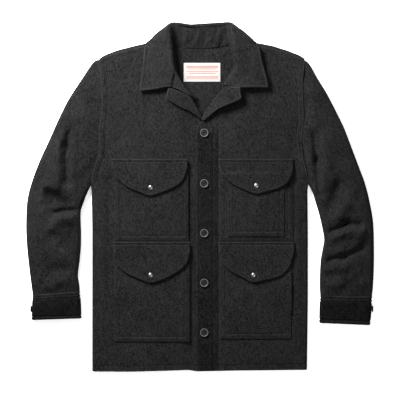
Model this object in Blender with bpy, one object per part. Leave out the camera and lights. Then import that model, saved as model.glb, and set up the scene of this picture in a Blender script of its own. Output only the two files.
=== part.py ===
"""Wool mackinaw jacket, buttoned and laid on its back.

+Z is up, +Y points from the hem to the collar, and the origin is on the surface below the
middle of the jacket. Left and right are the wearer's, so the wearer's right is at -X.
Every length below is in millimetres and is turned into metres when a mesh is made.
"""
import bpy
import math
from mathutils import Vector

MM = 0.001

# The cloth
CLOTH = 2.6            # one ply of the heavy wool
DOUBLE = 4.0           # two plies stitched together: collar, lapels, cuffs
FLAP = 3.4             # two pressed plies of a pocket flap
PATCH = 2.4            # a pocket's single ply
GAP = 0.3              # between pieces that are sewn to each other
LAY = 0.6              # between a curved panel and what lies on it

# How the laid jacket stands off the surface
FOLD = 7.0             # outer radius of the body's folded sides and shoulders
CHEST_RISE = 4.5       # how much higher the fronts lie in the middle than at the sides
ARMHOLE_RIM = 1.8      # the felled seam stands this much proud of the front
ARMHOLE_LIFT = 2.0     # how much the front rises towards the armhole
SEAM_ANGLE = 168.0     # degrees that the back turns up and over the shoulder
SHOULDER_GAP = 1.8     # from the back's turned edge to the front's, along the shoulder seam
SIDE_TURN = math.radians(83)   # of each panel round the side fold, up to the side seam

# Body outline, as x at each y, on the wearer's right and left
RIGHT_EDGE = [(-411, -255), (-243, -255), (-78, -255), (17, -256), (31, -257), (57, -252),
              (83, -243), (106, -236), (135, -236), (156, -237), (190, -233), (219, -230),
              (269, -232), (321, -238), (372, -238)]
LEFT_EDGE = [(-408, 253), (-243, 255), (-78, 255), (17, 254), (40, 254), (57, 252), (90, 243),
             (135, 238), (182, 244), (222, 243), (274, 241), (323, 247), (372, 247)]
ARMHOLE_FOOT = 32      # y where the side fold ends and the armhole starts
ARMHOLE_HEAD = 325     # y of the armhole's upper end
ARMHOLE_STEPS = 8
HEM_Y = -400           # the y at which the columns of the panels are laid out at the hem
TOP_Y = 340            # and at the shoulder

# Where the points of a panel lie: y of the rows below the armhole, and distances along the
# cloth from the side seam, from a front's closing edge and from the back's turned shoulder
BODY_ROWS = [-365, -300, -240, -180, -120, -60, -20, 4, 14, 24]
NEAR_SIDE = [0, 2.6, 5.5, 9, 13, 19, 28]
NEAR_CLOSING = [80, 66, 52, 26, 0]
NEAR_SHOULDER = [19, 15, 11, 7, 3.5, 0]

# Upper end of the back: the shoulders' outline and the back neck seam, as y at each x
BACK_TOP = [(-239, 326), (-227, 335), (-196, 347), (-149, 359), (-125, 364), (-100, 369),
            (-84, 371), (-74, 364), (-57, 357), (-45, 353), (-2, 351), (33, 353), (60, 356),
            (80, 363), (93, 371), (110, 369), (132, 365), (170, 358), (205, 347), (236, 335),
            (249, 326)]
HEM = [(-256, -411), (-165, -411), (-24, -407), (-14, -410), (94, -408), (256, -407)]
NECK_RIGHT = -95       # x of the two neck corners, where the back stops turning over
NECK_LEFT = 104

# Inner edge of each front, as x at each y: the closing, then along under the lapel's roll
RIGHT_CENTRE = [(-411, 31), (144, 31), (178, -10), (190, -11), (203, -13), (211, -16), (221, -21),
                (233, -27), (258, -43), (278, -56), (295, -64), (323, -70),
                (347, -73), (368, -80)]
LEFT_CENTRE = [(-411, -8), (150, -8), (165, -6), (176, 1), (183, 12), (199, 20), (219, 33.5),
               (239, 47), (256, 65), (280, 80), (301, 91), (323, 91), (348, 88), (368, 93)]
LAP_FROM = -48         # the right front starts to dip here to pass under the left one
LAP_TO = -20
LAP_HIGH = 180         # above this y the two fronts part
LAP_FADE = 25          # and over this much more y the dip fades away
LAP_DIP = 4.0          # how deep the right front lies below the left one's level

# Columns: where a fold starts (x, y), where it ends, half width, and rise or fall
BODY_FOLDS = [
    (-215, 60, -225, -120, 26, 1.6), (-180, 140, -222, 112, 14, -2.0),
    (215, 60, 226, -140, 26, 1.4), (198, 140, 230, 110, 14, -2.0),
    (-90, 190, -40, 120, 30, 1.4), (110, 200, 70, 130, 30, 1.3),
    (-150, 230, -205, 190, 30, 1.5), (180, 225, 215, 190, 30, 1.4),
]
RIGHT_SLEEVE_FOLDS = [
    (-306, 158, -316, 118, 12, -3.5), (-316, 118, -315, 35, 12, -3.5),
    (-338, 130, -342, 40, 18, 3.0), (-352, 4, -318, -14, 18, -6.0),
    (-342, -38, -284, -33, 9, -5.0), (-335, -58, -296, -60, 12, 5.0),
    (-370, -38, -352, -70, 12, 3.5), (-352, -74, -312, -80, 12, 2.5),
    (-345, -172, -312, -172, 16, -3.5), (-335, -200, -315, -198, 15, 3.0),
    (-285, 240, -262, 120, 22, 2.5),
]
LEFT_SLEEVE_FOLDS = [
    (268, 146, 278, 85, 11, -4.0), (278, 85, 278, 10, 11, -4.0),
    (298, 130, 302, 40, 18, 3.0), (330, 28, 305, -26, 14, -4.0),
    (345, -20, 325, -45, 14, 3.5), (304, -84, 343, -62, 10, -5.0),
    (343, -62, 376, -66, 10, -4.5), (300, -98, 340, -86, 11, 4.0),
    (340, -86, 385, -90, 12, 3.5), (304, -150, 340, -143, 11, -4.5),
    (340, -143, 382, -118, 11, -4.0), (305, -170, 340, -164, 12, 3.5),
    (290, -186, 310, -182, 10, -3.0), (300, -208, 330, -206, 12, 2.5),
    (275, 240, 262, 150, 20, 2.5),
]

# Sleeve stations from the armhole to the cuff seam. Columns: x and y on the outer edge, x and y
# on the inner edge, height of the rounded edges, and how far the top is domed above them
RIGHT_SLEEVE = [
    (-242, 324, -258.5, 32, 14, 2), (-255, 319, -261, 25, 14, 4), (-283, 276, -265, 14, 15, 7),
    (-312, 229, -269, 4, 16, 9), (-335, 182, -273, -8, 16, 10), (-356, 135, -277, -19, 17, 10),
    (-378, 87, -281, -31, 17, 10), (-396, 40, -282, -50, 17, 9), (-408, -7, -281, -78, 17, 9),
    (-411, -66, -281, -112, 17, 9), (-409, -115, -284, -150, 17, 9),
    (-404, -165, -288, -184, 16, 8), (-399, -205, -285, -208, 15, 6),
    (-395.5, -231, -284, -223.5, 14, 4),
]
LEFT_SLEEVE = [
    (252, 323, 255.5, 32, 14, 2), (262, 315, 258.5, 28, 14, 3), (279, 281, 261, 22, 15, 5),
    (297, 250, 264, 15, 15, 7),
    (318, 209, 268, 5, 16, 9), (340, 164, 272, -10, 16, 10), (357, 120, 277, -26, 17, 10),
    (374, 75, 283, -48, 17, 10), (390, 32, 289, -75, 17, 9), (401, -12, 293, -101, 17, 9),
    (409, -58, 289, -126, 17, 9), (411, -110, 285, -150, 17, 9),
    (411, -165, 283, -185, 16, 8), (409, -210, 283, -215, 15, 6),
    (406.5, -235, 284, -232.5, 14, 4),
]
# Cuffs: the same columns
RIGHT_CUFF = [
    (-395.5, -231.6, -284, -224.1, 15, 4), (-397, -250, -281.5, -245, 16, 4),
    (-397.5, -270, -280.5, -268, 16, 3), (-398, -289, -280, -285, 15, 2),
]
LEFT_CUFF = [
    (406.8, -235.8, 284.2, -233.3, 15, 4), (406, -258, 282.5, -254, 16, 4),
    (404.5, -279, 281.8, -276, 16, 3), (402.5, -301, 281.5, -296, 15, 2),
]

# Collar sections from the right leaf's end, round the back neck, to the left leaf's end.
# Columns: x, y, z of the neck seam, of the roll, of the middle of the fall, of its side and
# of its outer edge
COLLAR = [
    (-15, 245, 13, -22, 239, 25, -68, 258.5, 25, -105, 254, 25, -141, 250, 22),
    (-31, 252, 12, -37, 261, 26, -66, 268, 27, -104, 268, 26, -139, 266, 22),
    (-44, 273, 11, -50, 281, 28, -65, 282, 29.5, -103, 284, 27, -136.5, 284, 22),
    (-51, 290, 11, -58, 297, 29, -72, 300, 31, -104, 302, 28, -134, 303, 22),
    (-57, 318, 11, -63, 323, 30, -80, 325, 31, -106, 327, 28, -132, 328, 23),
    (-58, 341, 11, -66, 347, 30, -84, 349, 31, -108, 351, 28, -130, 352, 22),
    (-57, 354, 9.5, -68, 368, 29, -88, 370, 29, -110, 372, 24, -127, 364, 16),
    (-54, 358, 9.6, -69, 386, 27, -85, 387, 26, -107, 382, 12, -105, 374, 0),
    (-50, 356.9, 9, -69, 397, 23, -80, 397, 20, -88, 394, 9, -86, 380, 0),
    (-45, 355.2, 8, -63, 400.5, 15, -67, 405.5, 12, -68, 407.4, 6, -64, 376, 0),
    (-33, 353.6, 5, -44, 399, 12, -45, 405, 10.5, -45, 407, 5.5, -43, 372, 0),
    (-17, 351.6, 4.3, -24, 397, 11.5, -24, 402, 10, -24, 404, 5.5, -22, 369, 0),
    (0, 351.4, 4.3, 0, 397, 11.5, 0, 402.5, 10, 0, 404.5, 5.5, 0, 369, 0),
    (17, 352, 4.3, 24, 399, 11.5, 24, 404, 10, 24, 406, 5.5, 23, 371, 0),
    (34, 354, 4.8, 46, 400.5, 12, 47, 405.5, 10.5, 47, 407.5, 5.5, 45, 374, 0),
    (48, 355.7, 7.2, 66, 401, 15, 71, 406, 12, 73, 408, 6, 69, 377, 0),
    (58, 357.2, 8.4, 73, 394, 23, 83, 395, 20, 94, 395, 9, 90, 381, 0),
    (66, 359.4, 9, 75, 383, 27, 90, 384, 26, 112, 383, 12, 109, 375, 0),
    (70, 356, 9.5, 77, 368, 29, 95, 370, 29, 118, 373, 24, 133, 364, 16),
    (73, 342, 11, 81, 347, 30, 98, 348, 31, 120, 350, 28, 139, 351, 22),
    (77, 322, 11, 85, 323, 30, 100, 323, 31, 122, 325, 28, 143, 328, 23),
    (77, 304, 11, 85, 302, 29, 99, 299, 30.5, 124, 299, 28, 150, 300, 22),
    (68, 288, 12, 74, 282, 27, 94, 277, 29, 125, 277, 27, 156, 279, 22),
    (55, 269, 13, 61, 263.5, 25, 92.5, 258, 25, 125, 258, 25, 160, 258, 22),
]

# Lapels from the gorge seam down. Columns: x and y on the roll, x and y on the outer edge
RIGHT_LAPEL = [
    (-19.8, 236.2, -73.4, 255.8), (-16, 228, -77, 243), (-12, 221, -78, 232),
    (-7.5, 213, -47, 212.5), (-3, 206, -24, 202), (1.5, 199, -5, 190),
]
LEFT_LAPEL = [
    (60.2, 262.7, 93.2, 256.6), (50, 251, 94, 243), (41, 241, 94, 231), (28, 224, 66, 218.5),
    (17.5, 209, 40, 206), (8, 193.5, 21, 190),
]
LAPEL_TURN = 12        # how far the facing reaches back under the front's edge
LAPEL_BULGE = 1.2      # how far the middle of a lapel stands up off the front

# Pockets. Columns: left x, right x, top y, bottom y
POCKETS = {
    "upper_right": (-201, -27, 73, -103.5),
    "lower_right": (-201, -24, -122, -341),
    "upper_left": (46, 219, 73, -103.5),
    "lower_left": (47, 215, -122, -334),
}
UTILITY = (66, 199, 40, -93)

# Flaps: the y of the top, the x of both sides, and the lower edge as y at each x
FLAPS = {
    "upper_right": (90, -208, -30, [(-208, 74), (-198, 49), (-176, 26), (-142, 13), (-116, 3),
                                    (-85, 12), (-51, 29), (-34, 49), (-30, 74)]),
    "lower_right": (-105, -204, -24, [(-204, -122), (-198, -158), (-176, -178), (-142, -192),
                                      (-116, -202), (-85, -195), (-51, -175), (-28, -158),
                                      (-24, -122)]),
    "upper_left": (90, 44, 219, [(44, 74), (54, 52), (73, 32), (108, 17), (133, 7), (164, 15),
                                 (198, 26), (217, 52), (219, 74)]),
    "lower_left": (-105, 44, 221, [(44, -122), (54, -158), (79, -179), (108, -192),
                                   (127, -201), (158, -194), (193, -184), (215, -158),
                                   (221, -122)]),
}
SNAPS = {"upper_right": (-116, 22), "lower_right": (-116, -184),
         "upper_left": (133, 26), "lower_left": (126, -184)}
SNAP_RADIUS = 5.6
SNAP_DOME = 2.6

# Buttons
BUTTON_X = 10
BUTTON_Y = (151, 32, -85, -202, -319)
# Columns: radius and height of a front button's turned profile, from its foot to its middle
BUTTON_PROFILE = [(5.0, 0.0), (8.6, 0.5), (10.1, 1.8), (10.2, 3.0), (9.4, 3.9), (8.2, 3.8),
                  (7.2, 2.9), (4.0, 2.6)]
CUFF_BUTTON_SCALE = 0.78
CUFF_BUTTON = (-396.7, 405.2, -264, 8.4)   # x on the right and left cuff's edge, y, z

LABEL = (-38, 48, 273, 317)
LABEL_THICK = 0.9

WOOL = (0.024, 0.024, 0.026, 1.0)


def clear_scene():
    for thing in list(bpy.data.objects):
        bpy.data.objects.remove(thing, do_unlink=True)


def material(name, colour, roughness, metallic):
    made = bpy.data.materials.new(name)
    made.use_nodes = True
    shader = made.node_tree.nodes["Principled BSDF"]
    shader.inputs["Base Color"].default_value = colour
    shader.inputs["Roughness"].default_value = roughness
    shader.inputs["Metallic"].default_value = metallic
    return made


def ease(value):
    """Smooth step from 0 to 1."""
    value = min(1.0, max(0.0, value))
    return value * value * (3 - 2 * value)


def through(p0, p1, p2, p3, t):
    """A point between p1 and p2 on the smooth curve through four points."""
    return 0.5 * (2 * p1 + (p2 - p0) * t + (2 * p0 - 5 * p1 + 4 * p2 - p3) * t * t
                  + (3 * p1 - p0 - 3 * p2 + p3) * t ** 3)


def smooth_at(points, position):
    """The point at a fractional index of a smooth curve through all the points."""
    last = len(points) - 1
    first = min(int(position), last - 1)
    around = [points[max(0, min(last, first + step))] for step in (-1, 0, 1, 2)]
    return through(*around, position - first)


def table_value(table, at):
    """The value at one place of a table of (place, value) rows, with rounded corners."""
    if at <= table[0][0]:
        return table[0][1]
    for (low, low_value), (high, high_value) in zip(table, table[1:]):
        if at <= high:
            return low_value + (high_value - low_value) * (at - low) / (high - low)
    return table[-1][1]


def softened(table, at, reach=7):
    """table_value averaged over a short reach, which rounds its corners."""
    return sum(table_value(table, at + reach * step / 2) for step in (-2, -1, 0, 1, 2)) / 5


def fold_height(table, x, y):
    """The sum of the soft ridges and troughs of a table at one point."""
    total = 0.0
    for x0, y0, x1, y1, width, rise in table:
        along = Vector((x1 - x0, y1 - y0))
        offset = Vector((x - x0, y - y0))
        share = max(0.0, min(1.0, offset.dot(along) / along.length_squared))
        away = (offset - share * along).length
        total += rise * math.exp(-(away / width) ** 2)
    return total


def edge_of(side, y):
    return softened(LEFT_EDGE if side > 0 else RIGHT_EDGE, y)


def shoulder_y(x):
    """The y at which the back's upper outline lies at an x."""
    return softened(BACK_TOP, x, 5)


def front_top(x, y):
    """Height of a front's outer face."""
    side = 1 if x > 0 else -1
    inside = abs(edge_of(side, y)) - abs(x)
    crown = CHEST_RISE * ease(inside / 150) * ease((shoulder_y(x) - y) / 90)
    armhole = ease((y - ARMHOLE_FOOT) / 30) * ease((ARMHOLE_HEAD - y - 4) / 30)
    rim = ARMHOLE_RIM * armhole * math.exp(-(inside / 9) ** 2)
    lift = ARMHOLE_LIFT * armhole * math.exp(-(inside / 60) ** 2)
    calm = ease(inside / 20) * ease((shoulder_y(x) - y) / 30)
    return 2 * FOLD + crown + rim + lift + calm * fold_height(BODY_FOLDS, x, y)


def right_front_top(x, y):
    """The right front's outer face, which dips to pass under the left front."""
    lapped = ease((x - LAP_FROM) / (LAP_TO - LAP_FROM)) * ease((LAP_HIGH - y) / LAP_FADE + 1)
    return front_top(x, y) - LAP_DIP * lapped


def side_turn(y):
    """How far the side is folded at this y, in radians: not at all along the armhole."""
    return (1 - ease((y - ARMHOLE_FOOT + 28) / 26)) * SIDE_TURN


def armhole_rows():
    """The y of each row along the armhole, which the panels and the sleeves share."""
    length = ARMHOLE_HEAD - ARMHOLE_FOOT
    return [ARMHOLE_FOOT + FOLD + (length - 2 * FOLD) * k / ARMHOLE_STEPS
            for k in range(ARMHOLE_STEPS + 1)]


def across(side, y, columns, centre_x):
    """Where the columns of a panel lie at one y: x and the drop of the folded side."""
    outer = edge_of(side, y)
    turn = side_turn(y)
    arc = FOLD * turn
    length = arc + abs(centre_x - outer) - FOLD * math.sin(turn)
    near_side, between, near_centre = columns
    first, last = near_side[-1], length - near_centre[0]
    spots = near_side + [first + (last - first) * (k + 1) / (between + 1)
                         for k in range(between)] + [length - d for d in near_centre]
    places = []
    for s in spots:
        if s < arc:
            angle = turn - s / FOLD
            run = FOLD * (math.sin(turn) - math.sin(angle))
            drop = FOLD * (1 - math.cos(angle))
        else:
            run = FOLD * math.sin(turn) + s - arc
            drop = 0.0
        places.append((outer - side * run, drop))
    return places


def new_object(name, points, faces, finish, smooth=True):
    mesh = bpy.data.meshes.new(name)
    mesh.from_pydata([Vector(p) * MM for p in points], [], faces)
    mesh.validate()
    if smooth:
        mesh.shade_smooth()
        mesh.set_sharp_from_angle(angle=math.radians(40))
    made = bpy.data.objects.new(name, mesh)
    made.data.materials.append(finish)
    bpy.context.scene.collection.objects.link(made)
    return made


def grid_normals(rows, closed):
    """A unit normal at each point of a grid, from its neighbours' directions."""
    count, width = len(rows), len(rows[0])
    normals = []
    for j in range(count):
        line = []
        for i in range(width):
            up, down = rows[min(count - 1, j + 1)][i], rows[max(0, j - 1)][i]
            if closed:
                ahead, behind = rows[j][(i + 1) % width], rows[j][i - 1]
            else:
                ahead, behind = rows[j][min(width - 1, i + 1)], rows[j][max(0, i - 1)]
            line.append((ahead - behind).cross(up - down).normalized())
        normals.append(line)
    return normals


def wall(name, rows, thickness, finish, closed=False, upright=False):
    """A cloth wall from a grid of points on its outer face, which lies left of each row's
    direction turned up. A closed grid is a tube that is open at both ends."""
    rows = [[Vector(p) for p in row] for row in rows]
    count, width = len(rows), len(rows[0])
    if upright:
        inner = [[p - Vector((0, 0, thickness)) for p in row] for row in rows]
    else:
        inner = [[p - n * thickness for p, n in zip(row, line)]
                 for row, line in zip(rows, grid_normals(rows, closed))]
    points = [p for row in rows for p in row] + [p for row in inner for p in row]
    half = count * width
    faces = []
    strips = width if closed else width - 1
    for j in range(count - 1):
        for i in range(strips):
            k = (i + 1) % width
            a, b, c, d = j * width + i, j * width + k, (j + 1) * width + k, (j + 1) * width + i
            faces.append((a, b, c, d))
            faces.append((half + d, half + c, half + b, half + a))
    for i in range(strips):
        k = (i + 1) % width
        top = (count - 1) * width
        faces.append((k, i, half + i, half + k))
        faces.append((top + i, top + k, half + top + k, half + top + i))
    if not closed:
        for j in range(count - 1):
            a, b = j * width, (j + 1) * width
            faces.append((a, b, half + b, half + a))
            faces.append((b + width - 1, a + width - 1, half + a + width - 1,
                          half + b + width - 1))
    return new_object(name, points, faces, finish)


def panel_shares(hem, top):
    """The rows of a body panel as shares of its side edge, hem to shoulder."""
    return [(y - hem) / (top - hem) for y in [hem] + BODY_ROWS + armhole_rows() + [top]]


def front(name, side, centre_table, top_of, finish):
    """One front panel, from the side fold or armhole to the closing, hem to shoulder."""
    columns = (NEAR_SIDE, 5, NEAR_CLOSING)
    shoulder = across(side, TOP_Y, columns, centre_table[-1][1])
    low = across(side, HEM_Y, columns, centre_table[0][1])
    seam_drop = FOLD * (1 - math.sin(math.radians(SEAM_ANGLE))) + SHOULDER_GAP
    side_hem, side_top = softened(HEM, low[0][0]), shoulder_y(shoulder[0][0]) - seam_drop
    rows = []
    for share in panel_shares(side_hem, side_top):
        row = []
        for i, (top_x, hem_x) in enumerate(zip(shoulder, low)):
            hem = softened(HEM, hem_x[0])
            top = shoulder_y(top_x[0]) - seam_drop
            y = hem + (top - hem) * share
            x, drop = across(side, y, columns, table_value(centre_table, y))[i]
            row.append((x, y, top_of(x, y) - drop))
        rows.append(row if side < 0 else row[::-1])
    return wall(name, rows, CLOTH, finish)


def back(name, finish):
    """The back panel, flat on the surface, turned up at the sides and over the shoulders."""
    columns = (NEAR_SIDE, 5, [0])
    rows = []
    for j in range(len(BODY_ROWS) + 1 + len(armhole_rows()) + len(NEAR_SHOULDER)):
        halves = []
        for side in (-1, 1):
            half = []
            side_hem = softened(HEM, edge_of(side, HEM_Y))
            shares = panel_shares(side_hem, armhole_rows()[-1])[:-1]
            for i, (top_x, flat) in enumerate(across(side, TOP_Y, columns, 0)):
                top = shoulder_y(top_x)
                neck = ease((NECK_LEFT + 6 - top_x) / 16) * ease((top_x - NECK_RIGHT + 6) / 16)
                over = math.radians(SEAM_ANGLE) * (1 - neck)
                hem = softened(HEM, top_x)
                centre = top - FOLD * math.sin(min(over, math.pi / 2))
                length = centre - hem + FOLD * over
                if j < len(shares):
                    inner = ease(i / 6)
                    spot = shares[j] * ((length - NEAR_SHOULDER[0] - 5) * inner
                                        + (armhole_rows()[-1] - hem) * (1 - inner))
                else:
                    spot = length - NEAR_SHOULDER[j - len(shares)]
                angle = max(0.0, (spot - (centre - hem)) / FOLD)
                y = hem + spot if angle == 0 else centre + FOLD * math.sin(angle)
                x, rise = across(side, y, columns, 0)[i]
                half.append((x, y, FOLD * (1 - math.cos(angle)) + rise))
            halves.append(half)
        right, left = halves
        rows.append((right + left[-2::-1])[::-1])
    return wall(name, rows, CLOTH, finish)


def tube_ring(outer, inner, edge_height, dome, folds, bow, side):
    """One closed section of a sleeve or cuff lying on the surface, flat below and domed
    above. bow moves a point sideways as a share of the section's width is passed."""
    outer, inner = Vector(outer), Vector(inner)
    chord = inner - outer
    width = chord.length
    chord.normalize()
    radius = edge_height / 2
    ring = []

    def add(distance, z, domed):
        share = distance / width
        spot = outer + chord * distance
        x, y = spot.x + bow(share, spot.y), spot.y
        if domed:
            crown = math.sin(math.pi * min(1.0, max(0.0, share))) ** 0.7
            z += dome * crown + fold_height(folds, x, y) * ease(4 * share) * ease(4 - 4 * share)
        ring.append((x, y, z))

    for k in range(ARMHOLE_STEPS + 1):
        add(radius + (width - 2 * radius) * k / ARMHOLE_STEPS, 0.0, False)
    for angle in (-50, -15, 20, 55):
        bend = math.radians(angle)
        add(width - radius + radius * math.cos(bend), radius + radius * math.sin(bend), False)
    for k in range(ARMHOLE_STEPS + 1):
        add(width - radius - (width - 2 * radius) * k / ARMHOLE_STEPS, edge_height, True)
    for angle in (55, 20, -15, -50):
        bend = math.radians(angle)
        add(radius - radius * math.cos(bend), radius + radius * math.sin(bend), False)
    return ring if side < 0 else ring[::-1]


def tube(name, stations, steps, folds, armhole, side, thickness, finish):
    """A sleeve or a cuff: rings between the stations, on a smooth path."""
    rows = []
    columns = [[station[k] for station in stations] for k in range(6)]
    for j in range(steps + 1):
        position = (len(stations) - 1) * j / steps
        ox, oy, ix, iy, height, dome = [smooth_at(column, position) for column in columns]
        fade = max(0.0, 1 - position / 4) ** 1.5 if armhole else 0.0

        def bow(share, y):
            if not fade:
                return 0.0
            chord = ox + (ix - ox) * share
            start = stations[0]
            at = start[1] + (start[3] - start[1]) * share
            seam = edge_of(side, at) + side * (GAP + 0.2)
            first = start[0] + (start[2] - start[0]) * share
            return (seam - first) * fade

        rows.append(tube_ring((ox, oy), (ix, iy), height, dome, folds, bow, side))
    return wall(name, rows, thickness, finish, closed=True)


def collar(name, finish):
    """The doubled collar: sections from the neck seam over the roll to the outer edge."""
    rows = []
    steps = 36
    numbers = [[row[k] for row in COLLAR] for k in range(15)]
    for j in range(steps + 1):
        flat = [smooth_at(column, (len(COLLAR) - 1) * j / steps) for column in numbers]
        controls = [Vector(flat[k:k + 3]) for k in (0, 3, 6, 9, 12)]
        row = [smooth_at(controls, 4 * i / 10) for i in range(11)]
        for p in row[3:]:
            if p.y < shoulder_y(p.x) - 10:
                p.z = max(p.z, front_top(p.x, p.y) + LAY + DOUBLE)
            p.z = max(0.0, p.z)
        rows.append(row)
    return wall(name, rows[::-1], DOUBLE, finish)


def lapel(name, table, side, top_of, finish):
    """A lapel: the facing turned round the front's edge and laid out over the front."""
    radius = (CLOTH + 2 * LAY + 2 * DOUBLE) / 2
    steps = 8
    columns = [[row[k] for row in table] for k in range(4)]
    rows = []
    for j in range(steps + 1):
        rx, ry, ex, ey = [smooth_at(column, (len(table) - 1) * j / steps) for column in columns]
        roll, edge = Vector((rx, ry)), Vector((ex, ey))
        out = edge - roll
        width = out.length
        out.normalize()
        seat = top_of(*(roll + out * radius))
        middle = seat - CLOTH / 2
        row = []
        under = min(LAPEL_TURN, width * 0.8)
        for distance in (under, (under + radius) / 2):
            spot = roll + out * max(distance, radius + 0.5)
            low = min(seat, top_of(spot.x, spot.y)) - CLOTH / 2 - LAY
            row.append((spot.x, spot.y, low - radius))
        for angle in (-70, -35, 0, 35, 70):
            bend = math.radians(angle)
            spot = roll + out * (radius - radius * math.cos(bend))
            row.append((spot.x, spot.y, middle + radius * math.sin(bend)))
        for k in range(6):
            spot = roll + out * (radius + (width - radius) * (k + 1) / 6)
            lift = LAPEL_BULGE * math.sin(math.pi * (k + 1) / 6)
            row.append((spot.x, spot.y, top_of(spot.x, spot.y) + LAY + DOUBLE + lift))
        rows.append(row)
    return wall(name, rows if side < 0 else rows[::-1], DOUBLE, finish)


def flap_top(which, x, y):
    """Height of a flap's outer face: over the patch's mouth, and over the utility pocket."""
    mouth = POCKETS[which][2]
    z = front_top(x, y) + LAY + FLAP + (PATCH + LAY) * ease((mouth + 17 - y) / 6)
    if which == "upper_left":
        z += (PATCH + LAY) * ease((UTILITY[2] + 24 - y) / 12)
    return z


def patch(name, box, base, finish):
    """A patch pocket, made from the front's own points moved out."""
    left, right, top, bottom = box
    over, down = 7, 8
    rows = []
    for j in range(down + 1):
        y = bottom + (top - bottom) * j / down
        row = []
        for i in range(over + 1):
            x = left + (right - left) * i / over
            row.append((x, y, base(x, y) + LAY + PATCH))
        rows.append(row)
    return wall(name, rows, PATCH, finish, upright=True)


def flap(name, which, finish):
    """A pocket flap with its shaped lower edge, lying over the patch's mouth."""
    top, left, right, lower = FLAPS[which]
    mouth = POCKETS[which][2]
    columns, below = 14, 4
    rows = []
    lines = []
    for i in range(columns + 1):
        x = left + (right - left) * i / columns
        low = table_value(lower, x)
        stand = max(mouth + 11, low + 0.8 * (top - low))
        lip = max(mouth + 2, low + 0.6 * (top - low))
        ys = [low + (lip - low) * k / below for k in range(below + 1)] + [stand, top]
        lines.append([(x, y, flap_top(which, x, y)) for y in ys])
    for j in range(below + 3):
        rows.append([line[j] for line in lines])
    return wall(name, rows, FLAP, finish, upright=True)


def turned(name, profile, segments, finish, place, scale=1.0, tilt=None):
    """A round piece turned about its own axis from (radius, height) rows."""
    points = [(0.0, 0.0, profile[0][1] * scale)]
    for radius, height in profile:
        for k in range(segments):
            angle = 2 * math.pi * k / segments
            points.append((radius * scale * math.cos(angle), radius * scale * math.sin(angle),
                           height * scale))
    points.append((0.0, 0.0, profile[-1][1] * scale))
    faces = []
    for k in range(segments):
        n = (k + 1) % segments
        faces.append((0, 1 + n, 1 + k))
        for ring in range(len(profile) - 1):
            a, b = 1 + ring * segments, 1 + (ring + 1) * segments
            faces.append((a + k, a + n, b + n, b + k))
        last = 1 + (len(profile) - 1) * segments
        faces.append((last + k, last + n, len(points) - 1))
    made = new_object(name, points, faces, finish)
    made.location = Vector(place) * MM
    if tilt:
        made.rotation_euler = tilt
    return made


def label(name, finish):
    left, right, bottom, top = LABEL
    base = CLOTH + GAP
    points = [(x, y, z) for z in (base, base + LABEL_THICK) for x, y in
              ((left, bottom), (right, bottom), (right, top), (left, top))]
    faces = [(3, 2, 1, 0), (4, 5, 6, 7), (0, 1, 5, 4), (1, 2, 6, 5), (2, 3, 7, 6), (3, 0, 4, 7)]
    return new_object(name, points, faces, finish, smooth=False)


def build():
    clear_scene()
    wool = material("wool", WOOL, 0.95, 0.0)
    horn = material("button", (0.02, 0.02, 0.021, 1.0), 0.35, 0.0)
    steel = material("snap", (0.62, 0.62, 0.63, 1.0), 0.28, 1.0)
    woven = material("label", (0.85, 0.84, 0.82, 1.0), 0.8, 0.0)

    back("back", wool)
    front("front_right", -1, RIGHT_CENTRE, right_front_top, wool)
    front("front_left", 1, LEFT_CENTRE, front_top, wool)
    tube("sleeve_right", RIGHT_SLEEVE, 20, RIGHT_SLEEVE_FOLDS, True, -1, CLOTH, wool)
    tube("sleeve_left", LEFT_SLEEVE, 20, LEFT_SLEEVE_FOLDS, True, 1, CLOTH, wool)
    tube("cuff_right", RIGHT_CUFF, 3, [], False, -1, DOUBLE, wool)
    tube("cuff_left", LEFT_CUFF, 3, [], False, 1, DOUBLE, wool)
    collar("collar", wool)
    lapel("lapel_right", RIGHT_LAPEL, -1, right_front_top, wool)
    lapel("lapel_left", LEFT_LAPEL, 1, front_top, wool)
    for which, box in POCKETS.items():
        patch("pocket_" + which, box, front_top, wool)
        flap("flap_" + which, which, wool)
        x, y = SNAPS[which]
        dome = [(SNAP_RADIUS, 0.0), (SNAP_RADIUS, 0.5)] + [
            (SNAP_RADIUS * math.cos(math.radians(a)),
             0.5 + (SNAP_DOME - 0.5) * math.sin(math.radians(a))) for a in (25, 48, 70)]
        turned("snap_" + which, dome, 12, steel, (x, y, flap_top(which, x, y) + GAP))
    patch("utility_pocket", UTILITY, lambda x, y: front_top(x, y) + LAY + PATCH, wool)
    for number, y in enumerate(BUTTON_Y, 1):
        turned("button_%d" % number, BUTTON_PROFILE, 14, horn,
               (BUTTON_X, y, front_top(BUTTON_X, y) + LAY))
    for name, x, quarter in (("right", CUFF_BUTTON[0], -1), ("left", CUFF_BUTTON[1], 1)):
        turned("cuff_button_" + name, BUTTON_PROFILE, 14, horn,
               (x + quarter * LAY, CUFF_BUTTON[2], CUFF_BUTTON[3]), CUFF_BUTTON_SCALE,
               (0, quarter * math.pi / 2, 0))
    label("label", woven)


build()
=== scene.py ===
"""Wool mackinaw jacket, buttoned and laid on its back: its looks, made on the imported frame.

Lengths in the sections are in millimetres, in the frame's axes: +X is the wearer's left, +Y
points to the collar and +Z up. They become metres when a mesh is made.
"""
import bpy
import math
import numpy as np
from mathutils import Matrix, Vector
from mathutils.bvhtree import BVHTree


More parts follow.
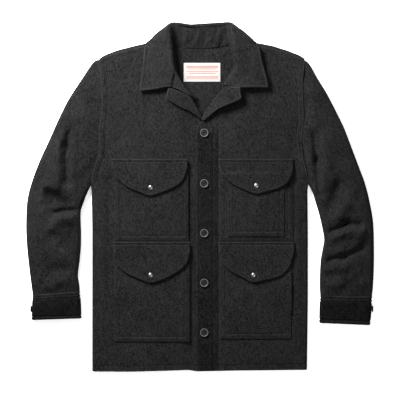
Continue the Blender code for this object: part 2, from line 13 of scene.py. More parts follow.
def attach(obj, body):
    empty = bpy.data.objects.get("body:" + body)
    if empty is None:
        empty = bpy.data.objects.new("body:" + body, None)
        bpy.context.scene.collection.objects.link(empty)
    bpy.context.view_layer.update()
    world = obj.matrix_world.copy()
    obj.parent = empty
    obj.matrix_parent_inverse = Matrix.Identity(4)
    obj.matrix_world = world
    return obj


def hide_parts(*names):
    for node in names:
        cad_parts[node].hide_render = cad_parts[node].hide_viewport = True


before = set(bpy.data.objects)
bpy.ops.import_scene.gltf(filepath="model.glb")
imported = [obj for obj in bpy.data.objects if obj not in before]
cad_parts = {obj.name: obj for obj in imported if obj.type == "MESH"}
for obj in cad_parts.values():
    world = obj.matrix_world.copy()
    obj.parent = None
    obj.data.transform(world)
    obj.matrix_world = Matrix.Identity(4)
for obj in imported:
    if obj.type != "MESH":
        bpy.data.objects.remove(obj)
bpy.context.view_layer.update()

# Back panel
# One piece of heavy napped wool. It lies flat, turns up round the sides to the side seams and
# rolls over the shoulders to meet the fronts. Its inner face shows in the neck opening.
MM = 0.001
CLOTH, DOUBLE, GAP, LAY = 2.6, 4.0, 0.3, 0.6
FOLD, SIDE_TURN, SEAM_ANGLE = 7.0, math.radians(83), math.radians(168)
BACK_COLUMNS, BACK_ROWS, ROLL_ROWS, ROLL_FROM = 52, 150, 18, 0.958
ARMHOLE_FOOT, ARMHOLE_HEAD = 32, 325
HEM_Y, TOP_Y = -400, 340
NECK_RIGHT, NECK_LEFT = -95, 104
# x at each y of the wearer's right and left side
RIGHT_EDGE = [(-411, -255), (-243, -255), (-78, -255), (17, -256), (31, -257), (57, -252),
              (83, -243), (106, -236), (135, -236), (156, -237), (190, -233), (219, -230),
              (269, -232), (321, -238), (372, -238)]
LEFT_EDGE = [(-408, 253), (-243, 255), (-78, 255), (17, 254), (40, 254), (57, 252), (90, 243),
             (135, 238), (182, 244), (222, 243), (274, 241), (323, 247), (372, 247)]
# y at each x of the shoulders with the back neck seam, and of the hem
BACK_TOP = [(-239, 326), (-227, 335), (-196, 347), (-149, 359), (-125, 364), (-100, 369),
            (-84, 371), (-74, 364), (-57, 357), (-45, 353), (-2, 351), (33, 353), (60, 356),
            (80, 363), (93, 371), (110, 369), (132, 365), (170, 358), (205, 347), (236, 335),
            (249, 326)]
HEM = [(-256, -411), (-165, -411), (-24, -407), (-14, -410), (94, -408), (256, -407)]


def ease(value):
    value = np.clip(value, 0.0, 1.0)
    return value * value * (3 - 2 * value)


def bell(distance, width):
    return np.exp(-(distance / width) ** 2)


def softened(table, at, reach=7):
    """The value of a (place, value) table at each place, with its corners rounded."""
    places, values = zip(*table)
    return sum(np.interp(np.asarray(at, float) + reach * step / 2, places, values)
               for step in (-2, -1, 0, 1, 2)) / 5


def edge_of(side, y):
    return softened(LEFT_EDGE if side > 0 else RIGHT_EDGE, y)


def shoulder_y(x):
    return softened(BACK_TOP, x, 5)


def side_turn(y):
    return (1 - ease((y - ARMHOLE_FOOT + 28) / 26)) * SIDE_TURN


def spread(near, between, far):
    """Columns of a panel as (distance, share of the width): near one edge, then between, then
    near the far edge."""
    shares = (np.arange(between) + 1) / (between + 1)
    first, last = near[-1], far[0]
    distance = list(near) + list(first * (1 - shares) - last * shares) + [-d for d in far]
    return np.array(distance, float), np.array([0] * len(near) + list(shares) + [1] * len(far))


def across(side, y, columns, centre_x):
    """x, drop and distance from the side seam of each column of a panel at height y."""
    outer, turn = edge_of(side, y), side_turn(y)
    arc = FOLD * turn
    length = arc + np.abs(centre_x - outer) - FOLD * np.sin(turn)
    s = columns[0] + columns[1] * length
    angle = turn - s / FOLD
    folded = s < arc
    run = np.where(folded, FOLD * (np.sin(turn) - np.sin(angle)), FOLD * np.sin(turn) + s - arc)
    drop = np.where(folded, FOLD * (1 - np.cos(angle)), 0.0)
    return outer - side * run, drop, s


def waves(x, y, size, seed):
    """Soft uneven swells of about that size, between -1 and 1."""
    total = 0.0
    for k in range(5):
        turn = seed + 2.4 * k
        run = x * math.cos(turn) + y * math.sin(turn)
        total = total + np.sin(run * (1 + 0.37 * k) * 2.4 / size + 1.7 * seed * k)
    return total / 3.2


def normals_of(p, closed=False):
    if closed:
        ahead, behind = np.roll(p, -1, 1), np.roll(p, 1, 1)
    else:
        ahead = np.concatenate([p[:, 1:], p[:, -1:]], 1)
        behind = np.concatenate([p[:, :1], p[:, :-1]], 1)
    up = np.concatenate([p[1:], p[-1:]], 0)
    down = np.concatenate([p[:1], p[:-1]], 0)
    n = np.cross(ahead - behind, up - down)
    return n / np.maximum(np.linalg.norm(n, axis=2, keepdims=True), 1e-9)


surfaces = {}
# Least height over the surface, how far an edge bulges as a share of the thickness, and how much
# lighter the rim of a face and the middle of an edge are painted, by rubbing and as highlight
FLOOR_GAP, EDGE_BULGE, RIM_WEAR_AND_HIGHLIGHT, EDGE_WEAR_AND_HIGHLIGHT = 0.02, 0.42, 0.5, 0.2


def mesh_piece(name, points, faces, finish, wear_and_painted_light=None):
    """A smooth mesh in metres from points in millimetres, riding on the jacket."""
    mesh = bpy.data.meshes.new(name)
    mesh.from_pydata((np.asarray(points) * MM).tolist(), [], faces)
    mesh.shade_smooth()
    if wear_and_painted_light is not None:
        mesh.attributes.new("wear_and_painted_light", "FLOAT", "POINT").data.foreach_set("value", wear_and_painted_light)
    mesh.materials.append(finish)
    made = bpy.data.objects.new(name, mesh)
    bpy.context.scene.collection.objects.link(made)
    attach(made, "root")
    return made


def cloth(name, p, thickness, finish, closed=False, relief=None, nap=0.0):
    """A cloth piece from a grid of points on its outer face. It gets a thickness and rounded
    edges, relief is added along its normals, and it stays above the surface. Where the last
    argument is below zero the wool is painted darker as shade; above zero it is painted lighter,
    as the highlight along an edge and as rubbing on it. Its edges are painted lighter the same
    way."""
    p = np.asarray(p, float)
    n = normals_of(p, closed)
    if relief is not None:
        p = p + n * relief[..., None]
        n = normals_of(p, closed)
    p[..., 2] = np.maximum(p[..., 2], FLOOR_GAP)
    inner = p - n * thickness
    inner[..., 2] = np.maximum(inner[..., 2], FLOOR_GAP)
    count, width = p.shape[:2]
    half = count * width
    index = np.arange(half).reshape(count, width)
    if closed:
        loops = [list(index[0]), list(index[-1][::-1])]
        inward = [list(index[1]), list(index[-2][::-1])]
        grid = np.concatenate([index, index[:, :1]], 1)
    else:
        loops = [list(index[0, :-1]) + list(index[:-1, -1]) + list(index[-1, :0:-1])
                 + list(index[:0:-1, 0])]
        clipped = index[np.ix_(np.clip(np.arange(count), 1, count - 2),
                               np.clip(np.arange(width), 1, width - 2))]
        inward = [[clipped.flat[k] for k in loops[0]]]
        grid = index
    a, b, c, d = grid[:-1, :-1], grid[:-1, 1:], grid[1:, 1:], grid[1:, :-1]
    outer_faces = np.stack([a, b, c, d], -1).reshape(-1, 4)
    faces = np.concatenate([outer_faces, outer_faces[:, ::-1] + half]).tolist()
    flat, under = p.reshape(-1, 3), inner.reshape(-1, 3)
    points = [flat, under]
    # Painted shade, painted highlight and rubbing per point, carried to the shader
    wear_and_painted_light = np.tile((nap + np.zeros((count, width))).ravel(), 2)
    total = 2 * half
    for loop, inside in zip(loops, inward):
        out = flat[loop] - flat[inside]
        out /= np.maximum(np.linalg.norm(out, axis=1, keepdims=True), 1e-9)
        points.append((flat[loop] + under[loop]) / 2 + out * thickness * EDGE_BULGE)
        for k in range(len(loop)):
            m = (k + 1) % len(loop)
            faces.append([loop[m], loop[k], total + k, total + m])
            faces.append([total + m, total + k, half + loop[k], half + loop[m]])
        # Rim and edge middle painted lighter, by rubbing and as the highlight on the rounded edge
        wear_and_painted_light[loop] += RIM_WEAR_AND_HIGHLIGHT
        wear_and_painted_light = np.concatenate([wear_and_painted_light, wear_and_painted_light[loop] + EDGE_WEAR_AND_HIGHLIGHT])
        total += len(loop)
    points = np.concatenate(points)
    points[:, 2] = np.maximum(points[:, 2], FLOOR_GAP)
    made = mesh_piece(name, points, faces, finish, wear_and_painted_light)
    surfaces[name] = BVHTree.FromPolygons(flat.tolist(), outer_faces.tolist())
    return made


def add_node(tree, kind, values=None, **settings):
    node = tree.nodes.new(kind)
    for key, value in settings.items():
        setattr(node, key, value)
    for key, value in (values or {}).items():
        node.inputs[key].default_value = value
    return node


def begun_material(name):
    """A new material with its node tree and its shader."""
    made = bpy.data.materials.new(name)
    made.use_nodes = True
    return made, made.node_tree, made.node_tree.nodes["Principled BSDF"]


def rubbed_and_highlit(distance, amount, width=1.7):
    """The lighter line painted along a folded or sewn edge: partly rubbing, partly painted
    highlight.
    """
    return amount * bell(distance, width)


def make_nap_group():
    """Felted pile over a faint twill: colour, roughness and height. Its third input paints shade,
    highlight and rubbing into the colour.
    """
    group = bpy.data.node_groups.new("napped_wool", "ShaderNodeTree")
    for name, kind, way in (("Deep", "Color", "INPUT"), ("Raised", "Color", "INPUT"),
                            ("Wear_and_painted_light", "Float", "INPUT"), ("Mottle", "Float", "INPUT"),
                            ("Color", "Color", "OUTPUT"), ("Roughness", "Float", "OUTPUT"),
                            ("Height", "Float", "OUTPUT")):
        group.interface.new_socket(name=name, in_out=way, socket_type="NodeSocket" + kind)
    link = group.links.new
    given = group.nodes.new("NodeGroupInput")
    out = group.nodes.new("NodeGroupOutput")
    place = add_node(group, "ShaderNodeTexCoord")
    fibres = add_node(group, "ShaderNodeTexNoise", {"Scale": 480.0, "Detail": 4.0,
                                                   "Roughness": 0.6, "Distortion": 0.3})
    slant = add_node(group, "ShaderNodeMapping", {"Rotation": (0.0, 0.0, math.radians(-52)),
                                                 "Scale": (1.0, 0.35, 1.0)})
    slubs = add_node(group, "ShaderNodeTexNoise", {"Scale": 300.0, "Detail": 2.0})
    twill = add_node(group, "ShaderNodeTexWave", {"Scale": 170.0, "Distortion": 5.0,
                                                 "Detail": 2.0, "Detail Scale": 3.0})
    clouds = add_node(group, "ShaderNodeTexNoise", {"Scale": 24.0, "Detail": 3.0})
    for texture in (fibres, clouds):
        link(place.outputs["Object"], texture.inputs["Vector"])
    link(place.outputs["Object"], slant.inputs["Vector"])
    for texture in (slubs, twill):
        link(slant.outputs["Vector"], texture.inputs["Vector"])
    pile = add_node(group, "ShaderNodeMix", {"Factor": 0.3}, data_type="FLOAT")
    link(fibres.outputs["Fac"], pile.inputs["A"])
    link(slubs.outputs["Fac"], pile.inputs["B"])
    woven = add_node(group, "ShaderNodeMix", {"Factor": 0.16}, data_type="FLOAT")
    link(pile.outputs["Result"], woven.inputs["A"])
    link(twill.outputs["Fac"], woven.inputs["B"])
    mottled = add_node(group, "ShaderNodeMix", data_type="FLOAT")
    link(given.outputs["Mottle"], mottled.inputs["Factor"])
    link(woven.outputs["Result"], mottled.inputs["A"])
    link(clouds.outputs["Fac"], mottled.inputs["B"])
    stretch = add_node(group, "ShaderNodeMapRange", {"From Min": 0.40, "From Max": 0.60})
    link(mottled.outputs["Result"], stretch.inputs["Value"])
    # The third input adds painted shade, painted highlight and rubbing on edges to the grain
    rub_light_and_grain = add_node(group, "ShaderNodeMath", {2: 0.0}, operation="MULTIPLY_ADD")
    link(given.outputs["Wear_and_painted_light"], rub_light_and_grain.inputs[0])
    link(fibres.outputs["Fac"], rub_light_and_grain.inputs[1])
    link(stretch.outputs["Result"], rub_light_and_grain.inputs[2])
    colour = add_node(group, "ShaderNodeMix", data_type="RGBA")
    link(rub_light_and_grain.outputs["Value"], colour.inputs["Factor"])
    link(given.outputs["Deep"], colour.inputs["A"])
    link(given.outputs["Raised"], colour.inputs["B"])
    link(colour.outputs["Result"], out.inputs["Color"])
    rough = add_node(group, "ShaderNodeMapRange", {"To Min": 0.98, "To Max": 0.86})
    link(stretch.outputs["Result"], rough.inputs["Value"])
    link(rough.outputs["Result"], out.inputs["Roughness"])
    link(woven.outputs["Result"], out.inputs["Height"])
    return group


nap_group = make_nap_group()


def wool_material(name, deep, raised, mottle=0.08, bump=0.8):
    made, tree, shader = begun_material(name)
    nap = add_node(tree, "ShaderNodeGroup", node_tree=nap_group)
    nap.inputs["Deep"].default_value = (*deep, 1)
    nap.inputs["Raised"].default_value = (*raised, 1)
    nap.inputs["Mottle"].default_value = mottle
    # Per-point painted shade and painted highlight, with rubbing on edges, read from the mesh
    wear_and_light_mask = add_node(tree, "ShaderNodeAttribute", attribute_name="wear_and_painted_light")
    relief = add_node(tree, "ShaderNodeBump", {"Strength": bump, "Distance": 0.0007})
    tree.links.new(wear_and_light_mask.outputs["Fac"], nap.inputs["Wear_and_painted_light"])
    tree.links.new(nap.outputs["Color"], shader.inputs["Base Color"])
    tree.links.new(nap.outputs["Roughness"], shader.inputs["Roughness"])
    tree.links.new(nap.outputs["Height"], relief.inputs["Height"])
    tree.links.new(relief.outputs["Normal"], shader.inputs["Normal"])
    shader.inputs["Specular IOR Level"].default_value = 0.03
    shader.inputs["Sheen Weight"].default_value = 0.004
    shader.inputs["Sheen Roughness"].default_value = 0.5
    return made


wool = wool_material("charcoal_wool", (0.0004, 0.0004, 0.0004), (0.0142, 0.0141, 0.0142))


def sheet_piece(name, node, p, thickness, flat, held, rests_on, area=None, finish=wool,
                slot="wool", **shape):
    """A cloth piece that stands for a CAD node, whose part it hides. The size it was cut to is
    given but not used.
    """
    made = cloth(name, p, thickness, finish, **shape)
    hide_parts(node)
    return made


def back_points():
    steps = [0, 1, 2.2, 4, 6, 8.5, 11, 14, 18, 23, 28]
    columns = spread(steps, BACK_COLUMNS, [0])
    shares = np.concatenate([np.linspace(0, ROLL_FROM - 0.003, BACK_ROWS),
                             np.linspace(ROLL_FROM, 1, ROLL_ROWS)])[:, None]
    halves = []
    for side in (-1, 1):
        top_x = across(side, TOP_Y, columns, 0)[0]
        top, hem = shoulder_y(top_x), softened(HEM, top_x)
        neck = ease((NECK_LEFT + 6 - top_x) / 16) * ease((top_x - NECK_RIGHT + 6) / 16)
        over = SEAM_ANGLE * (1 - neck)
        centre = top - FOLD * np.sin(np.minimum(over, math.pi / 2))
        spot = (centre - hem + FOLD * over) * shares
        angle = np.maximum(0.0, (spot - (centre - hem)) / FOLD)
        y = np.where(angle == 0, hem + spot, centre + FOLD * np.sin(angle))
        x, rise, _ = across(side, y, columns, 0)
        halves.append(np.stack([x, y, FOLD * (1 - np.cos(angle)) + rise], -1))
    return np.concatenate([halves[0], halves[1][:, -2::-1]], 1)[:, ::-1]


back = sheet_piece("back_panel", "back", back_points(), CLOTH, flat=(0.56, 0.80), area=0.40,
                   held="laid", rests_on=["the surface"])

# Fronts
# Two panels of the same wool. The left one laps over the right one and carries a doubled button
# band. Along the armholes the body is felled over the sleeve with two rows of stitching.
CHEST_RISE, ARMHOLE_RIM, ARMHOLE_LIFT, SHOULDER_GAP = 4.5, 1.8, 2.0, 1.8
LAP_FROM, LAP_TO, LAP_HIGH, LAP_FADE, LAP_DIP = -48, -20, 180, 25, 4.0
FELL_WIDTH, FELL_RISE = 11.5, 0.8
FRONT_COLUMNS, FRONT_ROWS, FRONT_LENGTH = 52, 190, 770
# x at each y of the inner edge: the closing, then under the lapel's roll
RIGHT_CENTRE = [(-411, 31), (144, 31), (168, 12), (178, 2), (190, -6), (203, -11), (211, -15),
                (221, -21), (233, -27), (258, -43), (278, -56), (295, -64), (323, -70),
                (347, -73), (368, -80)]
LEFT_CENTRE = [(-411, -8), (150, -8), (165, -6), (176, 1), (183, 11), (199, 20), (219, 33.5),
               (239, 47), (256, 65), (280, 80), (301, 91), (323, 91), (348, 88), (368, 93)]
# Folds: from x, y to x, y, half width, height
BODY_FOLDS = [
    (-215, 60, -225, -120, 26, 1.6), (-180, 140, -222, 112, 14, -2.0),
    (215, 60, 226, -140, 26, 1.4), (198, 140, 230, 110, 14, -2.0),
    (-90, 190, -40, 120, 30, 1.4), (110, 200, 70, 130, 30, 1.3),
    (-150, 230, -205, 190, 30, 1.5), (180, 225, 215, 190, 30, 1.4),
]
BODY_WAVES = [(0.75, 120, 1.3), (0.3, 48, 4.1)]      # height, size, seed
FINE_FOLDS = [
    (-226, 150, -205, 40, 13, -1.5), (-205, 150, -190, 95, 12, 1.0),
    (226, 140, 212, 30, 13, -1.5), (208, 150, 196, 100, 12, 1.0),
    (-230, -150, -222, -330, 16, 1.2), (-243, -60, -238, -250, 9, -1.0),
    (232, -120, 226, -320, 16, 1.2), (244, -60, 240, -240, 9, -1.0),
    (-120, 330, -170, 230, 30, 1.0), (140, 325, 175, 240, 30, 1.0),
    (-160, -372, -120, -395, 18, 1.3), (60, -368, 120, -398, 18, 1.3),
    (-40, -360, -60, -400, 16, -1.0), (200, -365, 214, -400, 14, -1.2),
    (-215, 40, -213, -240, 7, -1.8), (-231, 30, -232, -250, 10, 1.2),
    (232, 20, 231, -250, 10, 1.0), (-226, 118, -208, 70, 8, 1.6), (-216, 90, -206, 40, 7, -1.5),
]


def fold_height(table, x, y):
    """The sum of a table's soft ridges and troughs."""
    total = 0.0
    for x0, y0, x1, y1, width, rise in table:
        dx, dy = x1 - x0, y1 - y0
        share = np.clip(((x - x0) * dx + (y - y0) * dy) / (dx * dx + dy * dy), 0, 1)
        away = np.hypot(x - x0 - share * dx, y - y0 - share * dy)
        total = total + rise * bell(away, width)
    return total


def front_top(x, y):
    x, y = np.asarray(x, float), np.asarray(y, float)
    side = np.where(x > 0, 1, -1)
    inside = np.abs(np.where(x > 0, edge_of(1, y), edge_of(-1, y))) - np.abs(x)
    below = shoulder_y(x) - y
    armhole = ease((y - ARMHOLE_FOOT) / 30) * ease((ARMHOLE_HEAD - y - 4) / 30)
    calm = ease(inside / 20) * ease(below / 30)
    fine = fold_height(BODY_FOLDS, x, y) + fold_height(FINE_FOLDS, x, y)
    fine = fine + sum(height * waves(x, y, size, seed) for height, size, seed in BODY_WAVES)
    return (2 * FOLD + CHEST_RISE * ease(inside / 150) * ease(below / 90)
            + ARMHOLE_RIM * armhole * bell(inside, 9) + ARMHOLE_LIFT * armhole * bell(inside, 60)
            + calm * fine)


def right_front_top(x, y):
    lapped = ease((x - LAP_FROM) / (LAP_TO - LAP_FROM)) * ease((LAP_HIGH - y) / LAP_FADE + 1)
    return front_top(x, y) - LAP_DIP * lapped


def stitched(distance, rows, depth=0.95, width=1.3):
    """The grooves that rows of stitching pull into the cloth."""
    return -sum(depth * bell(distance - row, width) for row in rows)


# Rows of stitching: distance from the armhole's edge, from the hem and from the closing edge,
# and x on the band
FELL_ROWS, HEM_ROW, CLOSING_ROW, BAND_ROWS = (2.6, FELL_WIDTH), 12.0, 5.6, (30.5, 36.5, 42.5)
# The band's top, its edge, its rise, and how much darker it is painted as shade
BAND_TOP, BAND_EDGE, BAND_RISE, BAND_PAINTED_SHADE = 160, 46, 1.0, -0.55
BUTTON_X, BUTTON_Y, BUTTON_DENT, DENT_WIDTH = 10, (151, 32, -85, -202, -319), 1.0, 13


def front_points(side, centre_table, top_of):
    steps = [0, 1.2, 2.4, 3.6, 5, 7, 9, 10.5, 11.5, 12.5, 14, 17, 21, 25, 30]
    closing = list(np.arange(56, 0.9, -1.5)) + [0.8, 0]
    if side < 0:
        closing = [30, 24, 18, 12, 8, 5, 3, 1.5, 0.5, 0]
    columns = spread(steps, FRONT_COLUMNS, closing)
    seam_drop = FOLD * (1 - math.sin(SEAM_ANGLE)) + SHOULDER_GAP - 1.2
    top_x = across(side, TOP_Y, columns, centre_table[-1][1])[0]
    hem_x = across(side, HEM_Y, columns, centre_table[0][1])[0]
    top, hem = shoulder_y(top_x) - seam_drop, softened(HEM, hem_x)
    near_hem = np.array([0, 0.8, 2, 4, 7, 9.5, 11, 12, 13, 14.5, 17, 20]) / FRONT_LENGTH
    shares = np.concatenate([near_hem, np.linspace(0.03, 0.985, FRONT_ROWS),
                             [0.99, 0.995, 1]])[:, None]
    y = hem + (top - hem) * shares
    centre_x = np.interp(y, *zip(*centre_table))
    x, drop, s = across(side, y, columns, centre_x)
    p = np.stack([x, y, top_of(x, y) - drop], -1)
    armhole = ease((y - ARMHOLE_FOOT + 6) / 16)
    relief = armhole * (FELL_RISE * (1 - ease((s - FELL_WIDTH + 1) / 2))
                        + stitched(s, FELL_ROWS, 1.1))
    relief = relief + stitched(y - hem, (HEM_ROW,), 0.8)
    # Hem and armhole edges painted lighter, by rubbing and as highlight
    nap = rubbed_and_highlit(y - hem - 1.5, 0.4) + armhole * rubbed_and_highlit(s - 0.8, 0.35)
    if side > 0:
        band = ease((BAND_TOP - y) / 12)
        inside = x - centre_x
        relief = relief + band * (stitched(x, BAND_ROWS) + stitched(inside, (CLOSING_ROW,))
                                  + BAND_RISE * ease((BAND_ROWS[0] + 0.5 - x) / 4))
        for button_y in BUTTON_Y:
            away = np.hypot(x - BUTTON_X, y - button_y)
            relief = relief - BUTTON_DENT * bell(away, DENT_WIDTH)
        # The button band is painted darker as shade; its closing edge and stitch rows are painted
        # lighter, by rubbing and as highlight
        nap = nap + BAND_PAINTED_SHADE * ease((BAND_EDGE - x) / 3) * band
        nap = nap + band * (rubbed_and_highlit(inside - 2.2, 0.5) + rubbed_and_highlit(x - 33.5, 0.3)
                            + rubbed_and_highlit(x - 44.8, 0.3))
    return (p, relief, nap) if side < 0 else (p[:, ::-1], relief[:, ::-1], nap[:, ::-1])


def felted_front(name, node, side, centre_table, top_of):
    p, relief, nap = front_points(side, centre_table, top_of)
    return sheet_piece(name, node, p, CLOTH, flat=(0.32, 0.80), area=0.20, held="laid",
                       rests_on=[back], relief=relief, nap=nap)


front_right = felted_front("front_right_panel", "front_right", -1, RIGHT_CENTRE, right_front_top)
front_left = felted_front("front_left_panel", "front_left", 1, LEFT_CENTRE, front_top)

# Sleeves
# Full sleeves of the same wool, laid flat with soft rolled edges. The cloth breaks at the elbow
# and above the cuff, and the head of each sleeve runs in under the felled armhole seam.
# Columns: x and y on the outer edge, on the inner edge, height of the edges, dome of the top
RIGHT_SLEEVE = [
    (-242, 324, -258.5, 32, 14, 2), (-255, 319, -261, 25, 14, 4), (-283, 276, -265, 14, 15, 7),
    (-312, 229, -269, 4, 16, 9), (-335, 182, -273, -8, 16, 10), (-356, 135, -277, -19, 17, 10),
    (-378, 87, -281, -31, 17, 10), (-396, 40, -282, -50, 17, 9), (-408, -7, -281, -78, 17, 9),
    (-411, -66, -281, -112, 17, 9), (-409, -115, -284, -150, 17, 9),
    (-404, -165, -288, -184, 16, 8), (-399, -205, -285, -208, 15, 6),
    (-395.5, -231, -284, -223.5, 14, 4),
]
LEFT_SLEEVE = [
    (252, 323, 255.5, 32, 14, 2), (262, 315, 258.5, 28, 14, 3), (279, 281, 261, 22, 15, 5),
    (297, 250, 264, 15, 15, 7),
    (318, 209, 268, 5, 16, 9), (340, 164, 272, -10, 16, 10), (357, 120, 277, -26, 17, 10),
    (374, 75, 283, -48, 17, 10), (390, 32, 289, -75, 17, 9), (401, -12, 293, -101, 17, 9),
    (409, -58, 289, -126, 17, 9), (411, -110, 285, -150, 17, 9),
    (411, -165, 283, -185, 16, 8), (409, -210, 283, -215, 15, 6),
    (406.5, -235, 284, -232.5, 14, 4),
]
RIGHT_SLEEVE_FOLDS = [
    (-306, 158, -316, 118, 12, -3.5), (-316, 118, -315, 35, 12, -3.5),
    (-338, 130, -342, 40, 18, 3.0), (-352, 4, -318, -14, 18, -6.0),
    (-342, -38, -284, -33, 9, -5.0), (-335, -58, -296, -60, 12, 5.0),
    (-370, -38, -352, -70, 12, 3.5), (-352, -74, -312, -80, 12, 2.5),
    (-345, -172, -312, -172, 16, -3.5), (-335, -200, -315, -198, 15, 3.0),
    (-285, 240, -262, 120, 22, 2.5),
    # finer creases
    (-308, 150, -317, 100, 5, -1.8), (-317, 100, -315, 40, 5, -1.8),
    (-296, 120, -300, 60, 9, 1.6), (-366, 26, -338, 18, 8, 2.2), (-366, 24, -372, -6, 7, 1.8),
    (-340, -37, -283, -32, 4, -2.2), (-330, -50, -290, -46, 5, 1.6),
    (-300, 20, -286, -10, 12, 1.8), (-385, -60, -392, -110, 14, 1.6),
    (-375, -130, -340, -120, 12, 1.4), (-330, -118, -292, -108, 10, -1.6),
    (-390, 20, -402, -40, 14, -1.6), (-300, -190, -330, -215, 10, -1.4),
    (-385, -190, -360, -215, 12, 1.6), (-262, 60, -280, 20, 12, -1.8),
    (-345, -6, -320, -24, 15, -3.4), (-330, -31, -292, -29, 6, -2.6),
    (-322, -47, -302, -50, 9, 3.2), (-373, 32, -362, -4, 12, 2.6),
    (-330, 140, -333, 30, 10, 2.2), (-311, 150, -313, 34, 5, -2.2),
    (-340, -42, -286, -38, 3.5, 1.6), (-362, -210, -345, -215, 8, 1.4),
]
LEFT_SLEEVE_FOLDS = [
    (268, 146, 278, 85, 11, -4.0), (278, 85, 278, 10, 11, -4.0),
    (298, 130, 302, 40, 18, 3.0), (330, 28, 305, -26, 14, -4.0),
    (345, -20, 325, -45, 14, 3.5), (304, -84, 343, -62, 10, -5.0),
    (343, -62, 376, -66, 10, -4.5), (300, -98, 340, -86, 11, 4.0),
    (340, -86, 385, -90, 12, 3.5), (304, -150, 340, -143, 11, -4.5),
    (340, -143, 382, -118, 11, -4.0), (305, -170, 340, -164, 12, 3.5),
    (290, -186, 310, -182, 10, -3.0), (300, -208, 330, -206, 12, 2.5),
    (275, 240, 262, 150, 20, 2.5),
    # finer creases
    (270, 140, 279, 90, 5, -1.6), (279, 90, 278, 20, 5, -1.6), (262, 110, 266, 50, 8, 1.2),
    (306, -82, 344, -61, 4, -2.2), (344, -61, 374, -64, 4, -1.8),
    (305, -149, 341, -142, 5, -1.8), (341, -142, 380, -118, 5, -1.5),
    (338, -96, 342, -90, 6, -2.6), (296, -40, 320, -66, 10, 1.5),
    (386, -80, 366, -110, 9, 1.5), (352, 70, 372, 20, 16, 1.5), (312, 62, 332, 10, 14, -1.4),
    (360, -190, 390, -206, 11, 1.5), (340, -215, 372, -190, 9, -1.5),
    (392, -130, 398, -180, 12, -1.5), (262, 60, 290, 10, 10, -1.6),
    (287, 130, 290, 20, 8, 2.0), (318, -70, 345, -50, 6, 2.0), (350, -78, 384, -78, 6, 2.2),
    (310, -160, 345, -152, 6, 1.8), (348, -128, 380, -108, 6, 1.6),
]
SLEEVE_DEPTH = 1.5      # how much deeper the creases are than the CAD's
SLEEVE_TUCK = 4.0       # how far the sleeve's head runs in under the armhole
SLEEVE_STEPS, UNDER_COLUMNS, TOP_COLUMNS = 170, 30, 58


def smooth_rows(table, positions):
    """Points at fractional places on the smooth curve through the rows of a table."""
    table, at = np.asarray(table, float), np.asarray(positions, float)
    last = len(table) - 1
    first = np.minimum(at.astype(int), last - 1)
    t = (at - first).reshape(-1, *[1] * (table.ndim - 1))
    a, b, c, d = [table[np.clip(first + step, 0, last)] for step in (-1, 0, 1, 2)]
    return 0.5 * (2 * b + (c - a) * t + (2 * a - 5 * b + 4 * c - d) * t * t
                  + (3 * b - a - 3 * c + d) * t ** 3)


def tube_points(stations, steps, folds, side, armhole, seed):
    """Rings of a sleeve or cuff: flat below, rolled at the edges and domed above."""
    position = np.linspace(0, len(stations) - 1, steps)
    ox, oy, ix, iy, height, dome = [v[:, None] for v in smooth_rows(stations, position).T]
    width = np.hypot(ix - ox, iy - oy)
    radius = height / 2
    flat, top = np.linspace(0, 1, UNDER_COLUMNS), np.linspace(0, 1, TOP_COLUMNS)
    bend = np.radians(np.arange(-75, 90, 15))
    far = width - radius + radius * np.cos(bend)
    rise = radius + radius * np.sin(bend)
    near = radius - radius * np.cos(bend[::-1])
    span = width - 2 * radius
    distance = np.concatenate([radius + span * flat, far, width - radius - span * top, near], 1)
    z = np.concatenate([0 * span * flat, rise, height + 0 * span * top, rise[:, ::-1]], 1)
    upper = np.zeros(distance.shape[1])
    upper[UNDER_COLUMNS + len(bend):UNDER_COLUMNS + len(bend) + TOP_COLUMNS] = 1
    share = distance / width
    x, y = ox + (ix - ox) * share, oy + (iy - oy) * share
    if armhole:
        fade = np.maximum(0.0, 1 - position[:, None] / 4) ** 1.5
        start = stations[0]
        at = start[1] + (start[3] - start[1]) * share
        seam = edge_of(side, at) + side * (GAP + 0.2) - side * SLEEVE_TUCK * ease(z / 14) * fade
        x = x + (seam - start[0] - (start[2] - start[0]) * share) * fade
    inner = np.clip(share, 0, 1)
    middle = ease(4 * inner) * ease(4 - 4 * inner)
    shape = SLEEVE_DEPTH * fold_height(folds, x, y) + waves(x, y, 60, seed)
    shape = shape + 0.5 * waves(x, y, 26, seed)
    z = z + upper * (dome * np.sin(math.pi * inner) ** 0.7 + shape * middle)
    p = np.stack([x, y, z], -1)
    return p if side < 0 else p[:, ::-1]


def laid_sleeve(name, node, stations, folds, side, seed):
    sheet_piece(name, node, tube_points(stations, SLEEVE_STEPS, folds, side, True, seed), CLOTH,
                flat=(0.40, 0.60), area=0.14, held="laid", rests_on=["the surface"], closed=True)


laid_sleeve("sleeve_right_cloth", "sleeve_right", RIGHT_SLEEVE, RIGHT_SLEEVE_FOLDS, -1, 2.2)
laid_sleeve("sleeve_left_cloth", "sleeve_left", LEFT_SLEEVE, LEFT_SLEEVE_FOLDS, 1, 5.7)

# Cuffs
# Bands of doubled wool, pressed flat and painted darker as shade. Each is sewn over the sleeve's
# end with two rows of stitching below a welt painted lighter, by rubbing and as highlight, and
# edged with a third row.
RIGHT_CUFF = [
    (-395.5, -231.6, -284, -224.1, 15, 4), (-397, -250, -281.5, -245, 16, 4),
    (-397.5, -270, -280.5, -268, 16, 3), (-398, -289, -280, -285, 15, 2),
]
LEFT_CUFF = [
    (406.8, -235.8, 284.2, -233.3, 15, 4), (406, -258, 282.5, -254, 16, 4),
    (404.5, -279, 281.8, -276, 16, 3), (402.5, -301, 281.5, -296, 15, 2),
]
CUFF_FOLDS = [(-360, -240, -350, -262, 10, 0.8), (-310, -250, -318, -280, 10, -0.6),
              (350, -245, 345, -270, 10, 0.8), (392, -250, 386, -280, 9, -0.6)]
